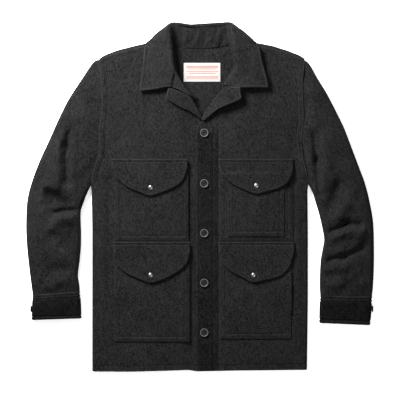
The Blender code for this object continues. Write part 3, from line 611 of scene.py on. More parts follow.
# Cuff length, rings and rows of stitching, and how much darker a cuff is painted as shade
CUFF_LENGTH, CUFF_STEPS, CUFF_ROWS, CUFF_PAINTED_SHADE = 60, 62, (6.2, 12.4, 51.5), -0.8
# Lines painted lighter on a cuff, by rubbing and as highlight: distance from its upper edge, how
# much lighter, width
CUFF_WEAR_AND_HIGHLIGHTS = [(2.4, 0.9, 3.0), (9.4, 0.55, 2.4), (55.5, 0.5, 3.2)]


def sewn_cuff(name, node, stations, side, seed):
    p = tube_points(stations, CUFF_STEPS, CUFF_FOLDS, side, False, seed)
    along = np.linspace(0, CUFF_LENGTH, CUFF_STEPS)[:, None] * np.ones(p.shape[1])
    # Painted shade over the whole cuff, and lines painted lighter by rubbing and as highlight
    nap = CUFF_PAINTED_SHADE + sum(rubbed_and_highlit(along - at, amount, width) for at, amount, width in CUFF_WEAR_AND_HIGHLIGHTS)
    sheet_piece(name, node, p, DOUBLE, flat=(0.27, 0.065), held="laid",
                rests_on=["the surface"], closed=True,
                relief=stitched(along, CUFF_ROWS, 1.3, 1.4), nap=nap)


sewn_cuff("cuff_right_band", "cuff_right", RIGHT_CUFF, -1, 3.1)
sewn_cuff("cuff_left_band", "cuff_left", LEFT_CUFF, 1, 6.4)

# Collar
# Doubled wool in one piece: it stands up from the neck seam, rolls over and falls on the fronts
# as two pointed leaves. A row of stitching runs inside its edge.
# Columns: x, y, z of the neck seam, of the roll, of the middle of the fall, of its side and of
# its outer edge
COLLAR = [
    (-15, 245, 13, -22, 239, 25, -68, 258.5, 25, -105, 254, 25, -141, 250, 22),
    (-31, 252, 12, -37, 261, 26, -66, 268, 27, -104, 268, 26, -139, 266, 22),
    (-44, 273, 11, -50, 281, 28, -65, 282, 29.5, -103, 284, 27, -136.5, 284, 22),
    (-51, 290, 11, -58, 297, 29, -72, 300, 31, -104, 302, 28, -134, 303, 22),
    (-57, 318, 11, -63, 323, 30, -80, 325, 31, -106, 327, 28, -132, 328, 23),
    (-58, 341, 11, -66, 347, 30, -84, 349, 31, -108, 351, 28, -130, 352, 22),
    (-57, 354, 9.5, -68, 368, 29, -88, 370, 29, -110, 372, 24, -127, 364, 16),
    (-54, 358, 9.6, -69, 386, 27, -85, 387, 26, -107, 382, 12, -105, 374, 0),
    (-50, 356.9, 9, -69, 397, 23, -80, 397, 20, -88, 394, 9, -86, 380, 0),
    (-45, 355.2, 8, -63, 400.5, 15, -67, 405.5, 12, -68, 407.4, 6, -64, 376, 0),
    (-33, 353.6, 5, -44, 399, 12, -45, 405, 10.5, -45, 407, 5.5, -43, 372, 0),
    (-17, 351.6, 4.3, -24, 397, 11.5, -24, 402, 10, -24, 404, 5.5, -22, 369, 0),
    (0, 351.4, 4.3, 0, 397, 11.5, 0, 402.5, 10, 0, 404.5, 5.5, 0, 369, 0),
    (17, 352, 4.3, 24, 399, 11.5, 24, 404, 10, 24, 406, 5.5, 23, 371, 0),
    (34, 354, 4.8, 46, 400.5, 12, 47, 405.5, 10.5, 47, 407.5, 5.5, 45, 374, 0),
    (48, 355.7, 7.2, 66, 401, 15, 71, 406, 12, 73, 408, 6, 69, 377, 0),
    (58, 357.2, 8.4, 73, 394, 23, 83, 395, 20, 94, 395, 9, 90, 381, 0),
    (66, 359.4, 9, 75, 383, 27, 90, 384, 26, 112, 383, 12, 109, 375, 0),
    (70, 356, 9.5, 77, 368, 29, 95, 370, 29, 118, 373, 24, 133, 364, 16),
    (73, 342, 11, 81, 347, 30, 98, 348, 31, 120, 350, 28, 139, 351, 22),
    (77, 322, 11, 85, 323, 30, 100, 323, 31, 122, 325, 28, 143, 328, 23),
    (77, 304, 11, 85, 302, 29, 99, 299, 30.5, 124, 299, 28, 150, 300, 22),
    (68, 288, 12, 74, 282, 27, 94, 277, 29, 125, 277, 27, 156, 279, 22),
    (55, 269, 13, 61, 263.5, 25, 92.5, 258, 25, 125, 258, 25, 160, 258, 22),
]
# Soft puckers on the inside of the stand: from x, y to x, y, half width, height
STAND_FOLDS = [(-30, 392, -36, 366, 5, 1.5), (-8, 396, -14, 372, 4, -1.2),
               (-2, 392, -10, 362, 5, 1.4), (14, 394, 10, 364, 6, -1.3),
               (48, 396, 40, 362, 5, 1.6), (62, 396, 66, 372, 3.5, -2.2),
               (30, 390, 26, 368, 6, 0.9)]
STAND_DEPTH = 1.5       # how many times deeper the puckers are made
# Row of stitching inside the edge, and how much lighter the right leaf is painted, as the light
# falling on its slope
EDGE_ROW, RIGHT_LEAF_PAINTED_LIGHT = 5.6, 0.25
LEAF_LIFT = (5.0, 9.0)  # how far the right and left leaf's free edges stand up off the fronts
BACK_RISE = 3.0         # how much further the roll stands out behind the neck than the CAD's
SEAM_TUCK = 3.0         # how far the stand's lower edge runs in over the seam at its corners
NECK_MIDDLE = 5         # x of the neck's middle
LEAF_FOOT = (252, 257)  # y of the right and left leaf's lower edge
# Places across the collar: where the stand ends, and where the fall starts to come free
STAND_END, STAND_FADE, END_FREE, EDGE_FREE = 1.05, 0.45, 1.2, 2.2
# Step in the right leaf where the fall is folded under: from x, y to x, y, and its depth
LEAF_STEP, STEP_DEPTH = (-59.7, 298, -68.6, 255), 3.8


def collar_points():
    ends = np.array([0, 0.02, 0.06, 0.12, 0.18, 0.22, 0.26, 0.32, 0.45])
    last = len(COLLAR) - 1
    at = np.concatenate([ends, np.linspace(0.6, last - 0.6, 200), last - ends[::-1]])
    controls = smooth_rows(np.array(COLLAR, float), at).reshape(len(at), 5, 3)
    controls[..., 1] += BACK_RISE * ease((controls[..., 1] - 375) / 20)
    corner = ease((np.abs(controls[:, 0, 0] - NECK_MIDDLE) - 34) / 9)
    tucked = corner * ease((controls[:, 0, 1] - 345) / 6)
    controls[:, 0, 1] -= SEAM_TUCK * tucked
    controls[:, 0, 2] -= tucked * (controls[:, 0, 2] - CLOTH)
    spots = np.concatenate([np.linspace(0, 3.4, 46), np.linspace(3.46, 4, 20)])
    p = smooth_rows(controls.transpose(1, 0, 2), spots).transpose(1, 0, 2)
    over = np.maximum(p[..., 2], front_top(p[..., 0], p[..., 1]) + LAY + DOUBLE)
    laid = (p[..., 1] < shoulder_y(p[..., 0]) - 10) & (spots[None, :] > 1.1)
    p[..., 2] = np.maximum(0.0, np.where(laid, over, p[..., 2]))
    lift = np.where(p[..., 0] < 0, *LEAF_LIFT)
    to_end = p[..., 1] - np.where(p[..., 0] < 0, *LEAF_FOOT)
    free = np.maximum(ease((spots[None, :] - EDGE_FREE) / 1.8),
                      ease((spots[None, :] - END_FREE) / 1.2) * bell(np.maximum(to_end, 0), 18))
    p[..., 2] += lift * laid * free
    stand = ease((STAND_END - spots[None, :]) / STAND_FADE)
    p[..., 2] += STAND_DEPTH * stand * fold_height(STAND_FOLDS, p[..., 0], p[..., 1])
    step = np.linalg.norm(np.diff(p, axis=1), axis=2)
    to_edge = np.concatenate([np.cumsum(step[:, ::-1], 1)[:, ::-1], np.zeros((len(at), 1))], 1)
    step = np.linalg.norm(np.diff(p, axis=0), axis=2)
    zero = np.zeros((1, p.shape[1]))
    to_right = np.concatenate([zero, np.cumsum(step, 0)])
    to_left = np.concatenate([np.cumsum(step[::-1], 0)[::-1], zero])
    distance = np.minimum(to_edge, np.minimum(to_right, to_left))
    outside = ease(spots - 0.9)[None, :]
    right_leaf = outside * laid * (p[..., 0] < 0)
    relief = outside * (stitched(distance, (EDGE_ROW,), 0.9, 1.4) + 0.3 * bell(distance - 2.6, 2)
                        + 0.5 * waves(p[..., 0], p[..., 1], 55, 0.7))
    x0, y0, x1, y1 = LEAF_STEP
    beyond = (p[..., 0] - x0) * (y0 - y1) + (p[..., 1] - y0) * (x1 - x0)
    beyond = ease((beyond / math.hypot(x1 - x0, y1 - y0) + 0.8) / 1.8)
    relief = relief - STEP_DEPTH * right_leaf * beyond * ease((y0 + 6 - p[..., 1]) / 16)
    # Edges painted lighter by rubbing and as highlight; the right leaf painted lighter as the
    # light falling on it
    nap = outside * rubbed_and_highlit(distance - 2.0, 0.5, 2.0) + RIGHT_LEAF_PAINTED_LIGHT * right_leaf
    return p[::-1], relief[::-1], nap[::-1]


p, relief, nap = collar_points()
sheet_piece("collar_cloth", "collar", p, DOUBLE, flat=(0.52, 0.13), area=0.047, held="folded",
            rests_on=[front_right, front_left], relief=relief, nap=nap)

# Lapels
# The upper corners of the fronts with their facings, turned out over the fronts and sewn to the
# collar along the gorge. Their rolled edges meet at the top of the closing.
# Columns: x and y on the roll, x and y on the outer edge
RIGHT_LAPEL = [
    (-21.5, 236.8, -73.5, 256.6), (-16, 228, -77, 243), (-12, 221, -78, 232),
    (-7.5, 213, -47, 212.5), (-3, 206, -24, 202), (2.5, 197, -4, 188), (7, 189, 4.5, 182),
]
LEFT_LAPEL = [
    (60.3, 262.6, 93, 257.2), (50, 251, 94, 243), (41, 241, 94, 231), (28, 224, 66, 218.5),
    (17.5, 209, 40, 206), (8, 193.5, 21, 190), (3, 183, 10, 180.5),
]
# How far the facing turns under, its bulge, and how far the right and left outer edge stand up
LAPEL_TURN, LAPEL_BULGE, LAPEL_LIFT, LAPEL_STEPS = 12, 1.6, (4.0, 13.0), 90


def lapel_points(table, side, top_of):
    radius = (CLOTH + 2 * LAY + 2 * DOUBLE) / 2
    at = np.linspace(0, len(table) - 1, LAPEL_STEPS)
    rx, ry, ex, ey = [v[:, None] for v in smooth_rows(table, at).T]
    width = np.hypot(ex - rx, ey - ry)
    ux, uy = (ex - rx) / width, (ey - ry) / width
    seat = top_of(rx + ux * radius, ry + uy * radius)
    middle = seat - CLOTH / 2
    share = np.linspace(0, 1, 5)[:-1]
    under = np.minimum(LAPEL_TURN, width * 0.8)
    inner = np.maximum(under + (radius - under) * share, radius + 0.3 * (1 - share))
    bend = np.radians(np.arange(-80, 81, 16))
    cap = np.concatenate([np.linspace(0, 0.86, 34), [0.9, 0.93, 0.96, 0.98, 1]])[1:]
    far = radius + (np.maximum(width, radius + 1) - radius) * cap
    d = np.concatenate([inner, radius - radius * np.cos(bend) + 0 * width, far], 1)
    x, y = rx + ux * d, ry + uy * d
    top = top_of(x, y)
    low = np.minimum(seat, top) - CLOTH / 2 - LAY - radius
    out = np.clip((d - radius) / (width - radius + 0.1), 0, 1)
    bulge = LAPEL_BULGE * np.sin(math.pi * out)
    bulge = bulge + LAPEL_LIFT[side > 0] * out ** 1.5 * ease(width / 40)
    turned_under = len(share) + len(bend)
    z = np.concatenate([low[:, :len(share)], middle + radius * np.sin(bend),
                        (top + LAY + DOUBLE + bulge)[:, turned_under:]], 1)
    p = np.stack([x, y, z], -1)
    along = np.concatenate([[0], np.cumsum(np.hypot(np.diff(ex[:, 0]), np.diff(ey[:, 0])))])
    near = np.minimum(width - d, along[:, None])
    relief = ease((d - radius) / 4) * (stitched(near, (EDGE_ROW,), 0.8, 1.4)
                                       + 0.3 * bell(near - 2.6, 2))
    relief[:, :turned_under] = 0
    # Edge painted lighter, by rubbing and as highlight
    nap = ease((d - radius) / 4) * rubbed_and_highlit(near - 2.0, 0.5, 2.0)
    return (p, relief, nap) if side < 0 else (p[::-1], relief[::-1], nap[::-1])


def turned_lapel(name, node, table, side, top_of, rests):
    p, relief, nap = lapel_points(table, side, top_of)
    sheet_piece(name, node, p, DOUBLE, flat=(0.09, 0.085), area=0.005, held="folded",
                rests_on=[rests], relief=relief, nap=nap)


turned_lapel("lapel_right_cloth", "lapel_right", RIGHT_LAPEL, -1, right_front_top, front_right)
turned_lapel("lapel_left_cloth", "lapel_left", LEFT_LAPEL, 1, front_top, front_left)

# Patch pockets
# Four large patches and a smaller utility pocket on the upper left one, single ply, turned in
# at the edges and sewn down with two rows. The lower ones are open for the hands at the side.
PATCH = 2.4
# Left x, right x, top y, bottom y, and the side that is open for a hand
POCKETS = {
    "upper_right": (-201, -27, 73, -103.5, 0), "lower_right": (-201, -24, -122, -341, -1),
    "upper_left": (46, 219, 73, -103.5, 0), "lower_left": (47, 215, -122, -334, 1),
}
UTILITY = (66, 199, 40, -93)
HAND_OPENING = (-280, -165)
PATCH_ROWS, UTILITY_SEAMS = (2.7, 12), (70, 111, 189)
# The loose edge at a hand opening: its lift, the hollow at its foot and the bulge of the pocket
LOOSE_LIFT, LOOSE_HOLLOW, LOOSE_BULGE = 1.8, 2.3, 2.6
# Turned lower edge: how far it is pressed down
PATCH_EDGE_DROP = 1.6
NEAR_EDGE = [0, 0.6, 1.2, 2, 2.7, 3.5, 5, 8, 10, 11, 12, 13, 14.5, 17]


def refined(low, high, step):
    """Places from low to high, close together near both ends."""
    near = np.array(NEAR_EDGE)
    between = np.arange(near[-1] + step, high - low - near[-1] - step / 2, step)
    return np.concatenate([low + near, low + between, high - near[::-1]])


def patch_points(box, base, opening):
    left, right, top, bottom = box
    x, y = np.meshgrid(refined(left, right, 4.5), refined(bottom, top, 4.5))
    sides = np.minimum(x - left, right - x)
    sewn = np.minimum(sides, y - bottom)
    z = base(x, y) + LAY + PATCH
    if opening:
        edge = x - left if opening < 0 else right - x
        low, high = HAND_OPENING
        loose = ease((y - low) / 14) * ease((high - y) / 20)
        z = z + LOOSE_LIFT * loose * bell(edge, 16)
        z = z - LOOSE_HOLLOW * bell(edge - 24, 20) * bell(y - low - 16, 18)
        z = z + LOOSE_BULGE * bell(edge - 14, 34) * bell(y - low - 58, 30)
        sewn = np.where(edge < 14, np.minimum(sides + 20 * loose, y - bottom), sewn)
    relief = stitched(sewn, PATCH_ROWS, 0.8, 1.2) - PATCH_EDGE_DROP * (1 - ease(sewn / 1.6))
    # Edges and the lower fold painted lighter, by rubbing and as highlight
    nap = rubbed_and_highlit(sewn - 0.6, 0.3) + rubbed_and_highlit(y - bottom - 0.8, 0.5) + rubbed_and_highlit(y - bottom - 9.5, 0.3)
    return np.stack([x, y, z], -1), relief, nap


def sewn_patch(name, node, box, base, opening, rests, flat):
    p, relief, nap = patch_points(box, base, opening)
    return sheet_piece(name, node, p, PATCH, flat=flat, held="laid", rests_on=[rests],
                       relief=relief, nap=nap)


patches = {}
for which, (left, right, top, bottom, opening) in POCKETS.items():
    rests = front_right if which.endswith("right") else front_left
    patches[which] = sewn_patch("patch_" + which, "pocket_" + which, (left, right, top, bottom),
                                front_top, opening, rests,
                                (round((right - left + 20) * MM, 3),
                                 round((top - bottom + 35) * MM, 3)))


def utility_base(x, y):
    return front_top(x, y) + LAY + PATCH + stitched(x, UTILITY_SEAMS, 0.5, 1.2)


patches["utility"] = sewn_patch("patch_utility", "utility_pocket", UTILITY, utility_base, 0,
                                patches["upper_left"], (0.153, 0.168))

# Pocket flaps
# Two pressed plies with a shaped lower edge, sewn on along the top with a narrow tuck. Each one
# closes with a domed nickel snap near its point.
FLAP = 3.4
# y of the top, the x of both sides, and the lower edge as y at each x
FLAPS = {
    "upper_right": (90, -208, -30, [(-208, 74), (-203, 58), (-198, 49), (-187, 37), (-176, 27),
                                    (-160, 18), (-142, 12), (-128, 5), (-116, 3), (-104, 6),
                                    (-85, 13), (-68, 20), (-51, 29), (-40, 40), (-34, 52),
                                    (-30, 74)]),
    "lower_right": (-105, -204, -24, [(-204, -122), (-203, -143), (-198, -157), (-187, -169),
                                      (-176, -178), (-160, -186), (-142, -193), (-128, -199),
                                      (-116, -202), (-104, -200), (-85, -193), (-68, -185),
                                      (-51, -175), (-38, -164), (-28, -152), (-24, -122)]),
    "upper_left": (90, 44, 219, [(44, 74), (48, 62), (54, 52), (63, 41), (73, 33), (90, 23),
                                 (108, 16), (121, 10), (133, 7), (146, 10), (164, 15),
                                 (182, 20), (198, 27), (209, 38), (216, 52), (219, 74)]),
    "lower_left": (-105, 44, 221, [(44, -122), (47, -146), (54, -158), (66, -170), (79, -179),
                                   (94, -186), (108, -193), (118, -199), (127, -201),
                                   (140, -198), (158, -194), (176, -190), (193, -184),
                                   (206, -172), (215, -155), (221, -122)]),
}
# The row of stitching, how far the lower edge stands up, and how deep the tuck along the top is
FLAP_ROW, FLAP_LIFT, FLAP_TUCK = 6.0, 1.8, 2.6


def flap_top(which, x, y):
    mouth = POCKETS[which][2]
    z = front_top(x, y) + LAY + FLAP + (PATCH + LAY) * ease((mouth + 17 - y) / 6)
    if which == "upper_left":
        z = z + (PATCH + LAY) * ease((UTILITY[2] + 24 - y) / 12)
    return z


def flap_points(which):
    top, left, right, lower = FLAPS[which]
    columns = refined(left, right, 3.2)
    low = softened(lower, columns, 3)
    near = np.array([0, 0.7, 1.5, 3, 4.5, 5.6, 6.7, 8, 10, 13])
    head = np.array([9, 7.4, 6.6, 6, 5.4, 4.4, 2.5, 1.2, 0])
    rows = []
    for distance in near:
        rows.append(low + distance * 0.995 * np.minimum(1, (top - low) / 40))
    start, stop = rows[-1], top - head[0]
    for share in np.linspace(0, 1, 28)[1:-1]:
        rows.append(start + (stop - start) * share)
    rows += [np.full(len(columns), top - distance) for distance in head]
    y = np.array(rows)
    x = np.broadcast_to(columns, y.shape)
    slope = np.gradient(low, columns)
    edge = (y - low) / np.sqrt(1 + slope ** 2)
    edge = np.minimum(edge, np.minimum(x - left, right - x))
    below = top - y
    relief = stitched(edge, (FLAP_ROW,), 0.6, 1.4) - 1.1 * (1 - ease(edge / 2.2))
    relief = relief + stitched(below, (FLAP_ROW,), FLAP_TUCK, 1.4) + 1.1 * bell(below - 2.6, 2.2)
    relief = relief + 0.5 * waves(x, y, 70, 3.3 + len(which))
    # Edge and top tuck painted lighter, by rubbing and as highlight
    nap = rubbed_and_highlit(edge - 1.2, 0.5) + rubbed_and_highlit(below - 2.4, 0.2)
    z = flap_top(which, x, y) + FLAP_LIFT * (1 - ease(edge / 16)) * ease((below - 12) / 14)
    return np.stack([x, y, z], -1), relief, nap


for which in FLAPS:
    p, relief, nap = flap_points(which)
    sheet_piece("flap_%s_cloth" % which, "flap_" + which, p, FLAP, flat=(0.185, 0.105),
                area=0.0145, held="laid", rests_on=[patches[which]], relief=relief, nap=nap)

# Snaps
# Domed caps of nickelled brass, a little scuffed. Each is pressed through a flap near its point
# and riveted to the socket behind it.
SNAPS = {"upper_right": (-116, 22), "lower_right": (-116, -184),
         "upper_left": (133, 26), "lower_left": (126, -184)}
SNAP_PROFILE = [(5.6, 0.0), (5.75, 0.35), (5.6, 0.75), (5.0, 1.0), (4.7, 1.15), (4.4, 1.55),
                (3.6, 2.05), (2.4, 2.4), (1.2, 2.56)]
SEGMENTS, SNAP_SEAT = 40, 0.1


def turned(profile, place, tilt=(0, 0, 0), scale=1.0):
    """Points and faces of a piece turned about its axis from (radius, height) rows."""
    angle = np.arange(SEGMENTS) * 2 * math.pi / SEGMENTS
    rings = [np.stack([r * np.cos(angle), r * np.sin(angle), np.full(SEGMENTS, h)], -1)
             for r, h in profile]
    points = np.concatenate([[[0, 0, profile[0][1]]], *rings, [[0, 0, profile[-1][1]]]]) * scale
    for axis, amount in enumerate(tilt):
        if amount:
            c, s = math.cos(amount), math.sin(amount)
            i, j = [(1, 2), (2, 0), (0, 1)][axis]
            moved = points.copy()
            moved[:, i] = c * points[:, i] - s * points[:, j]
            moved[:, j] = s * points[:, i] + c * points[:, j]
            points = moved
    points = points + np.array(place)
    faces, last = [], 1 + (len(profile) - 1) * SEGMENTS
    for k in range(SEGMENTS):
        n = (k + 1) % SEGMENTS
        faces.append([0, 1 + n, 1 + k])
        for a in range(1, last, SEGMENTS):
            faces.append([a + k, a + n, a + SEGMENTS + n, a + SEGMENTS + k])
        faces.append([last + k, last + n, last + SEGMENTS])
    return points, faces


def two_tones(tree, mask, low, high, into):
    """A colour that runs from low to high with a mask, linked into a socket."""
    tone = add_node(tree, "ShaderNodeMix", {"A": (*low, 1), "B": (*high, 1)}, data_type="RGBA")
    tree.links.new(mask, tone.inputs["Factor"])
    tree.links.new(tone.outputs["Result"], into)


def nickel_material():
    made, tree, shader = begun_material("worn_nickel")
    place = add_node(tree, "ShaderNodeTexCoord")
    scuffs = add_node(tree, "ShaderNodeTexNoise", {"Scale": 420.0, "Detail": 5.0})
    ramp = add_node(tree, "ShaderNodeMapRange", {"From Min": 0.35, "From Max": 0.7,
                                                "To Min": 0.26, "To Max": 0.42})
    tree.links.new(place.outputs["Object"], scuffs.inputs["Vector"])
    tree.links.new(scuffs.outputs["Fac"], ramp.inputs["Value"])
    tree.links.new(ramp.outputs["Result"], shader.inputs["Roughness"])
    two_tones(tree, scuffs.outputs["Fac"], (0.26, 0.26, 0.26), (0.12, 0.118, 0.116),
              shader.inputs["Base Color"])
    shader.inputs["Metallic"].default_value = 1.0
    return made


nickel = nickel_material()
for which, (x, y) in SNAPS.items():
    place = (x, y, float(flap_top(which, x, y)) + SNAP_SEAT)
    points, faces = turned(SNAP_PROFILE, place)
    made = mesh_piece("snap_%s_cap" % which, points, faces, nickel)
    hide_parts("snap_" + which)

# Buttons
# Dark horn-coloured buttons with a raised rim, painted lighter by rubbing and as the rim's
# highlight, and a dished middle. Five close the front, sewn on with a cross of thread, and one
# sits on the outer edge of each cuff.
BUTTON_PROFILE = [(5.0, 0.0), (8.0, 0.25), (9.3, 0.7), (10.0, 1.5), (10.25, 2.4), (10.1, 3.2),
                  (9.6, 3.75), (8.9, 3.95), (8.2, 3.85), (7.7, 3.4), (7.2, 2.75), (6.4, 2.35),
                  (5.4, 2.25), (4.9, 2.5), (4.4, 2.75), (3.9, 2.6), (3.4, 2.3), (2.0, 2.15)]
RUB_AND_HIGHLIGHT_RING = (8.1, 9.0)     # radii between which the horn is painted lighter, by rubbing and as the rim's highlight
CUFF_BUTTON_SCALE = 0.78
CUFF_BUTTONS = {"right": (-396.7, -264, 8.4), "left": (405.2, -264, 8.4)}


def horn_material():
    made, tree, shader = begun_material("dark_horn")
    place = add_node(tree, "ShaderNodeTexCoord")
    streak = add_node(tree, "ShaderNodeMapping", {"Scale": (1.0, 0.18, 1.0)})
    grain = add_node(tree, "ShaderNodeTexNoise", {"Scale": 260.0, "Detail": 4.0,
                                                 "Distortion": 1.2})
    gloss = add_node(tree, "ShaderNodeMapRange", {"To Min": 0.22, "To Max": 0.34})
    rim = add_node(tree, "ShaderNodeAttribute", attribute_name="wear_and_painted_light")
    # The rim ring is painted lighter, by rubbing and as highlight
    ringed_with_highlight = add_node(tree, "ShaderNodeMix", {"B": (0.08, 0.0785, 0.0765, 1)}, data_type="RGBA")
    two_tones(tree, grain.outputs["Fac"], (0.003, 0.003, 0.003), (0.014, 0.0135, 0.0135),
              ringed_with_highlight.inputs["A"])
    link = tree.links.new
    link(place.outputs["Object"], streak.inputs["Vector"])
    link(streak.outputs["Vector"], grain.inputs["Vector"])
    link(grain.outputs["Fac"], gloss.inputs["Value"])
    link(rim.outputs["Fac"], ringed_with_highlight.inputs["Factor"])
    link(ringed_with_highlight.outputs["Result"], shader.inputs["Base Color"])
    link(gloss.outputs["Result"], shader.inputs["Roughness"])
    shader.inputs["Specular IOR Level"].default_value = 0.07
    return made


horn = horn_material()


def sewn_button(name, node, place, tilt=(0, 0, 0), scale=1.0):
    points, faces = turned(BUTTON_PROFILE, place, tilt, scale)
    # Rings of the profile painted lighter, by rubbing and as the rim's highlight
    rim_rub_and_highlight = [RUB_AND_HIGHLIGHT_RING[0] < radius < RUB_AND_HIGHLIGHT_RING[1] for radius, _ in BUTTON_PROFILE]
    wear_and_painted_light = np.concatenate([[0], np.repeat(np.array(rim_rub_and_highlight, float), SEGMENTS), [0]])
    made = mesh_piece(name, points, faces, horn, wear_and_painted_light)
    surfaces[name] = BVHTree.FromPolygons([tuple(v) for v in points], faces)
    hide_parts(node)


for number, y in enumerate(BUTTON_Y, 1):
    seat = float(front_top(BUTTON_X, y)) + LAY
    sewn_button("front_button_%d" % number, "button_%d" % number, (BUTTON_X, y, seat))
for name, (x, y, z) in CUFF_BUTTONS.items():
    way = -1 if name == "right" else 1
    sewn_button("cuff_button_%s_horn" % name, "cuff_button_" + name, (x + way * LAY, y, z),
                (0, way * math.pi / 2, 0), CUFF_BUTTON_SCALE)

# Label
# A plain white woven label, sewn to the inside of the back below the neck seam. Narrow red rules
# are woven across it, and it bears no words.
LABEL, LABEL_THICK, RULE_THICK, RULE_RISE = (-38, 48, 273, 317), 0.9, 0.3, 0.35
# y of each rule's middle, its height, and how far its ends stay from the label's
RULES = [(308.5, 3.6, 6), (303.5, 1.2, 9), (297, 1.3, 6), (292.5, 1.3, 12), (284.5, 2.4, 6),
         (280, 1.2, 6)]


def label_material():
    made, tree, shader = begun_material("woven_label")
    place = add_node(tree, "ShaderNodeTexCoord")
    weave = add_node(tree, "ShaderNodeTexWave", {"Scale": 420.0, "Distortion": 0.6})
    bump = add_node(tree, "ShaderNodeBump", {"Strength": 0.3, "Distance": 0.0002})
    two_tones(tree, weave.outputs["Fac"], (0.235, 0.208, 0.198), (0.29, 0.262, 0.252),
              shader.inputs["Base Color"])
    tree.links.new(place.outputs["Object"], weave.inputs["Vector"])
    tree.links.new(weave.outputs["Fac"], bump.inputs["Height"])
    tree.links.new(bump.outputs["Normal"], shader.inputs["Normal"])
    shader.inputs["Roughness"].default_value = 0.75
    return made


def thread_material(name, scale, dark, light, specular):
    made, tree, shader = begun_material(name)
    place = add_node(tree, "ShaderNodeTexCoord")
    strands = add_node(tree, "ShaderNodeTexNoise", {"Scale": scale})
    two_tones(tree, strands.outputs["Fac"], dark, light, shader.inputs["Base Color"])
    tree.links.new(place.outputs["Object"], strands.inputs["Vector"])
    shader.inputs["Roughness"].default_value = 0.8
    shader.inputs["Specular IOR Level"].default_value = specular
    return made


def label_points(left, right, bottom, top, columns, rows, rise=0.0):
    """A grid on the softly uneven face of the label."""
    x, y = np.meshgrid(np.linspace(left, right, columns), np.linspace(bottom, top, rows))
    z = CLOTH + GAP + LABEL_THICK + rise + 0.15 * waves(x, y, 30, 2.0)
    return np.stack([x, y, z], -1)


sheet_piece("label_cloth", "label", label_points(*LABEL, 60, 36), LABEL_THICK,
            flat=(0.086, 0.044), held="laid", rests_on=[back], finish=label_material(),
            slot="label")
red_thread = thread_material("red_thread", 900.0, (0.22, 0.07, 0.055), (0.29, 0.15, 0.125), 0.5)
for number, (at, height, inset) in enumerate(RULES, 1):
    p = label_points(LABEL[0] + inset, LABEL[1] - inset, at - height / 2, at + height / 2, 40, 4,
                     RULE_RISE)
    rule = cloth("label_rule_%d" % number, p, RULE_THICK, red_thread)

# Stitching
# Rows of dark thread, a machine stitch of about seven to the inch, sunk into the wool on every
# sewn edge: armholes, hem, band, pockets, flaps, collar, lapels and cuffs.
STITCH, PITCH, THREAD = 2.7, 3.7, 0.42
# A thread's rings: share of its length, and share of its full width
THREAD_RINGS = ((0, 0.45), (0.5, 1), (1, 0.45))
THREAD_RISE, THREAD_ARCH = 0.12, 0.2
dark_thread = thread_material("dark_thread", 1500.0, (0.003, 0.003, 0.003),
                              (0.013, 0.013, 0.013), 0.05)
DOWN, ABOVE_ALL = Vector((0, 0, -1)), 80


def stitches(name, surface, lines, length=STITCH, pitch=PITCH, start=1.0):
    """Short threads along lines of (x, y) points, laid on the top of a piece."""
    tree, points, faces = surfaces[surface], [], []
    for line in lines:
        line = np.asarray(line, float)
        run = np.concatenate([[0], np.cumsum(np.hypot(*np.diff(line, axis=0).T))])
        for at in np.arange(start, run[-1] - length + 0.01, pitch):
            ends = []
            for spot in (at, at + length):
                x, y = np.interp(spot, run, line[:, 0]), np.interp(spot, run, line[:, 1])
                hit, normal = tree.ray_cast(Vector((x, y, ABOVE_ALL)), DOWN)[:2]
                if hit is None:
                    break
                ends.append((hit, normal))
            if len(ends) < 2 or (ends[0][0] - ends[1][0]).length > 2 * length:
                continue
            (p0, n0), (p1, n1) = ends
            up = (n0 + n1).normalized()
            way = (p1 - p0).normalized()
            out = way.cross(up)
            first = len(points)
            for share, size in THREAD_RINGS:
                centre = p0.lerp(p1, share) + up * (THREAD_RISE + THREAD_ARCH * size)
                for a, b in ((1, 0), (0, 0.8), (-1, 0), (0, -0.8)):
                    points.append(centre + (out * a + up * b) * THREAD * size)
            for ring in (0, 4):
                for k in range(4):
                    a, b = first + ring + k, first + ring + (k + 1) % 4
                    faces.append([a, b, b + 4, a + 4])
            faces.append([first + 3, first + 2, first + 1, first])
            faces.append([first + 8, first + 9, first + 10, first + 11])
    made = mesh_piece(name, [tuple(v) for v in points], faces, dark_thread)


def level(y, x0, x1):
    return [(x, y) for x in np.linspace(x0, x1, max(2, int(abs(x1 - x0) / 4)))]


def upright(x, y0, y1):
    return [(x, y) for y in np.linspace(y0, y1, max(2, int(abs(y1 - y0) / 4)))]


armhole_y = np.arange(ARMHOLE_FOOT + 4, ARMHOLE_HEAD - 6, 4)
for name, side in (("right", -1), ("left", 1)):
    lines = [[(edge_of(side, y) - side * inset, y) for y in armhole_y]
             for inset in FELL_ROWS]
    centre_x = 25 if side < 0 else -4
    lines.append([(x, softened(HEM, x) + HEM_ROW) for x in np.linspace(side * 246, centre_x, 90)])
    if side > 0:
        lines += [upright(x, 140, -404) for x in BAND_ROWS]
        lines.append(upright(LEFT_CENTRE[0][1] + CLOSING_ROW, 146, -404))
    stitches("stitching_front_" + name, "front_%s_panel" % name, lines)

for which, (left, right, top, bottom, opening) in POCKETS.items():
    lines = []
    for row in PATCH_ROWS:
        lines.append(level(bottom + row, left + row, right - row))
        for side, x in ((-1, left + row), (1, right - row)):
            end = HAND_OPENING[0] if side == opening else top - 4
            lines.append(upright(x, bottom + row, end))
    stitches("stitching_patch_" + which, "patch_" + which, lines)
left, right, top, bottom = UTILITY
lines = [level(bottom + row, left + row, right - row) for row in PATCH_ROWS]
for x in (left + PATCH_ROWS[0], right - PATCH_ROWS[0], right - PATCH_ROWS[1], UTILITY_SEAMS[1]):
    lines.append(upright(x, bottom + 3, top - 3))
stitches("stitching_patch_utility", "patch_utility", lines)

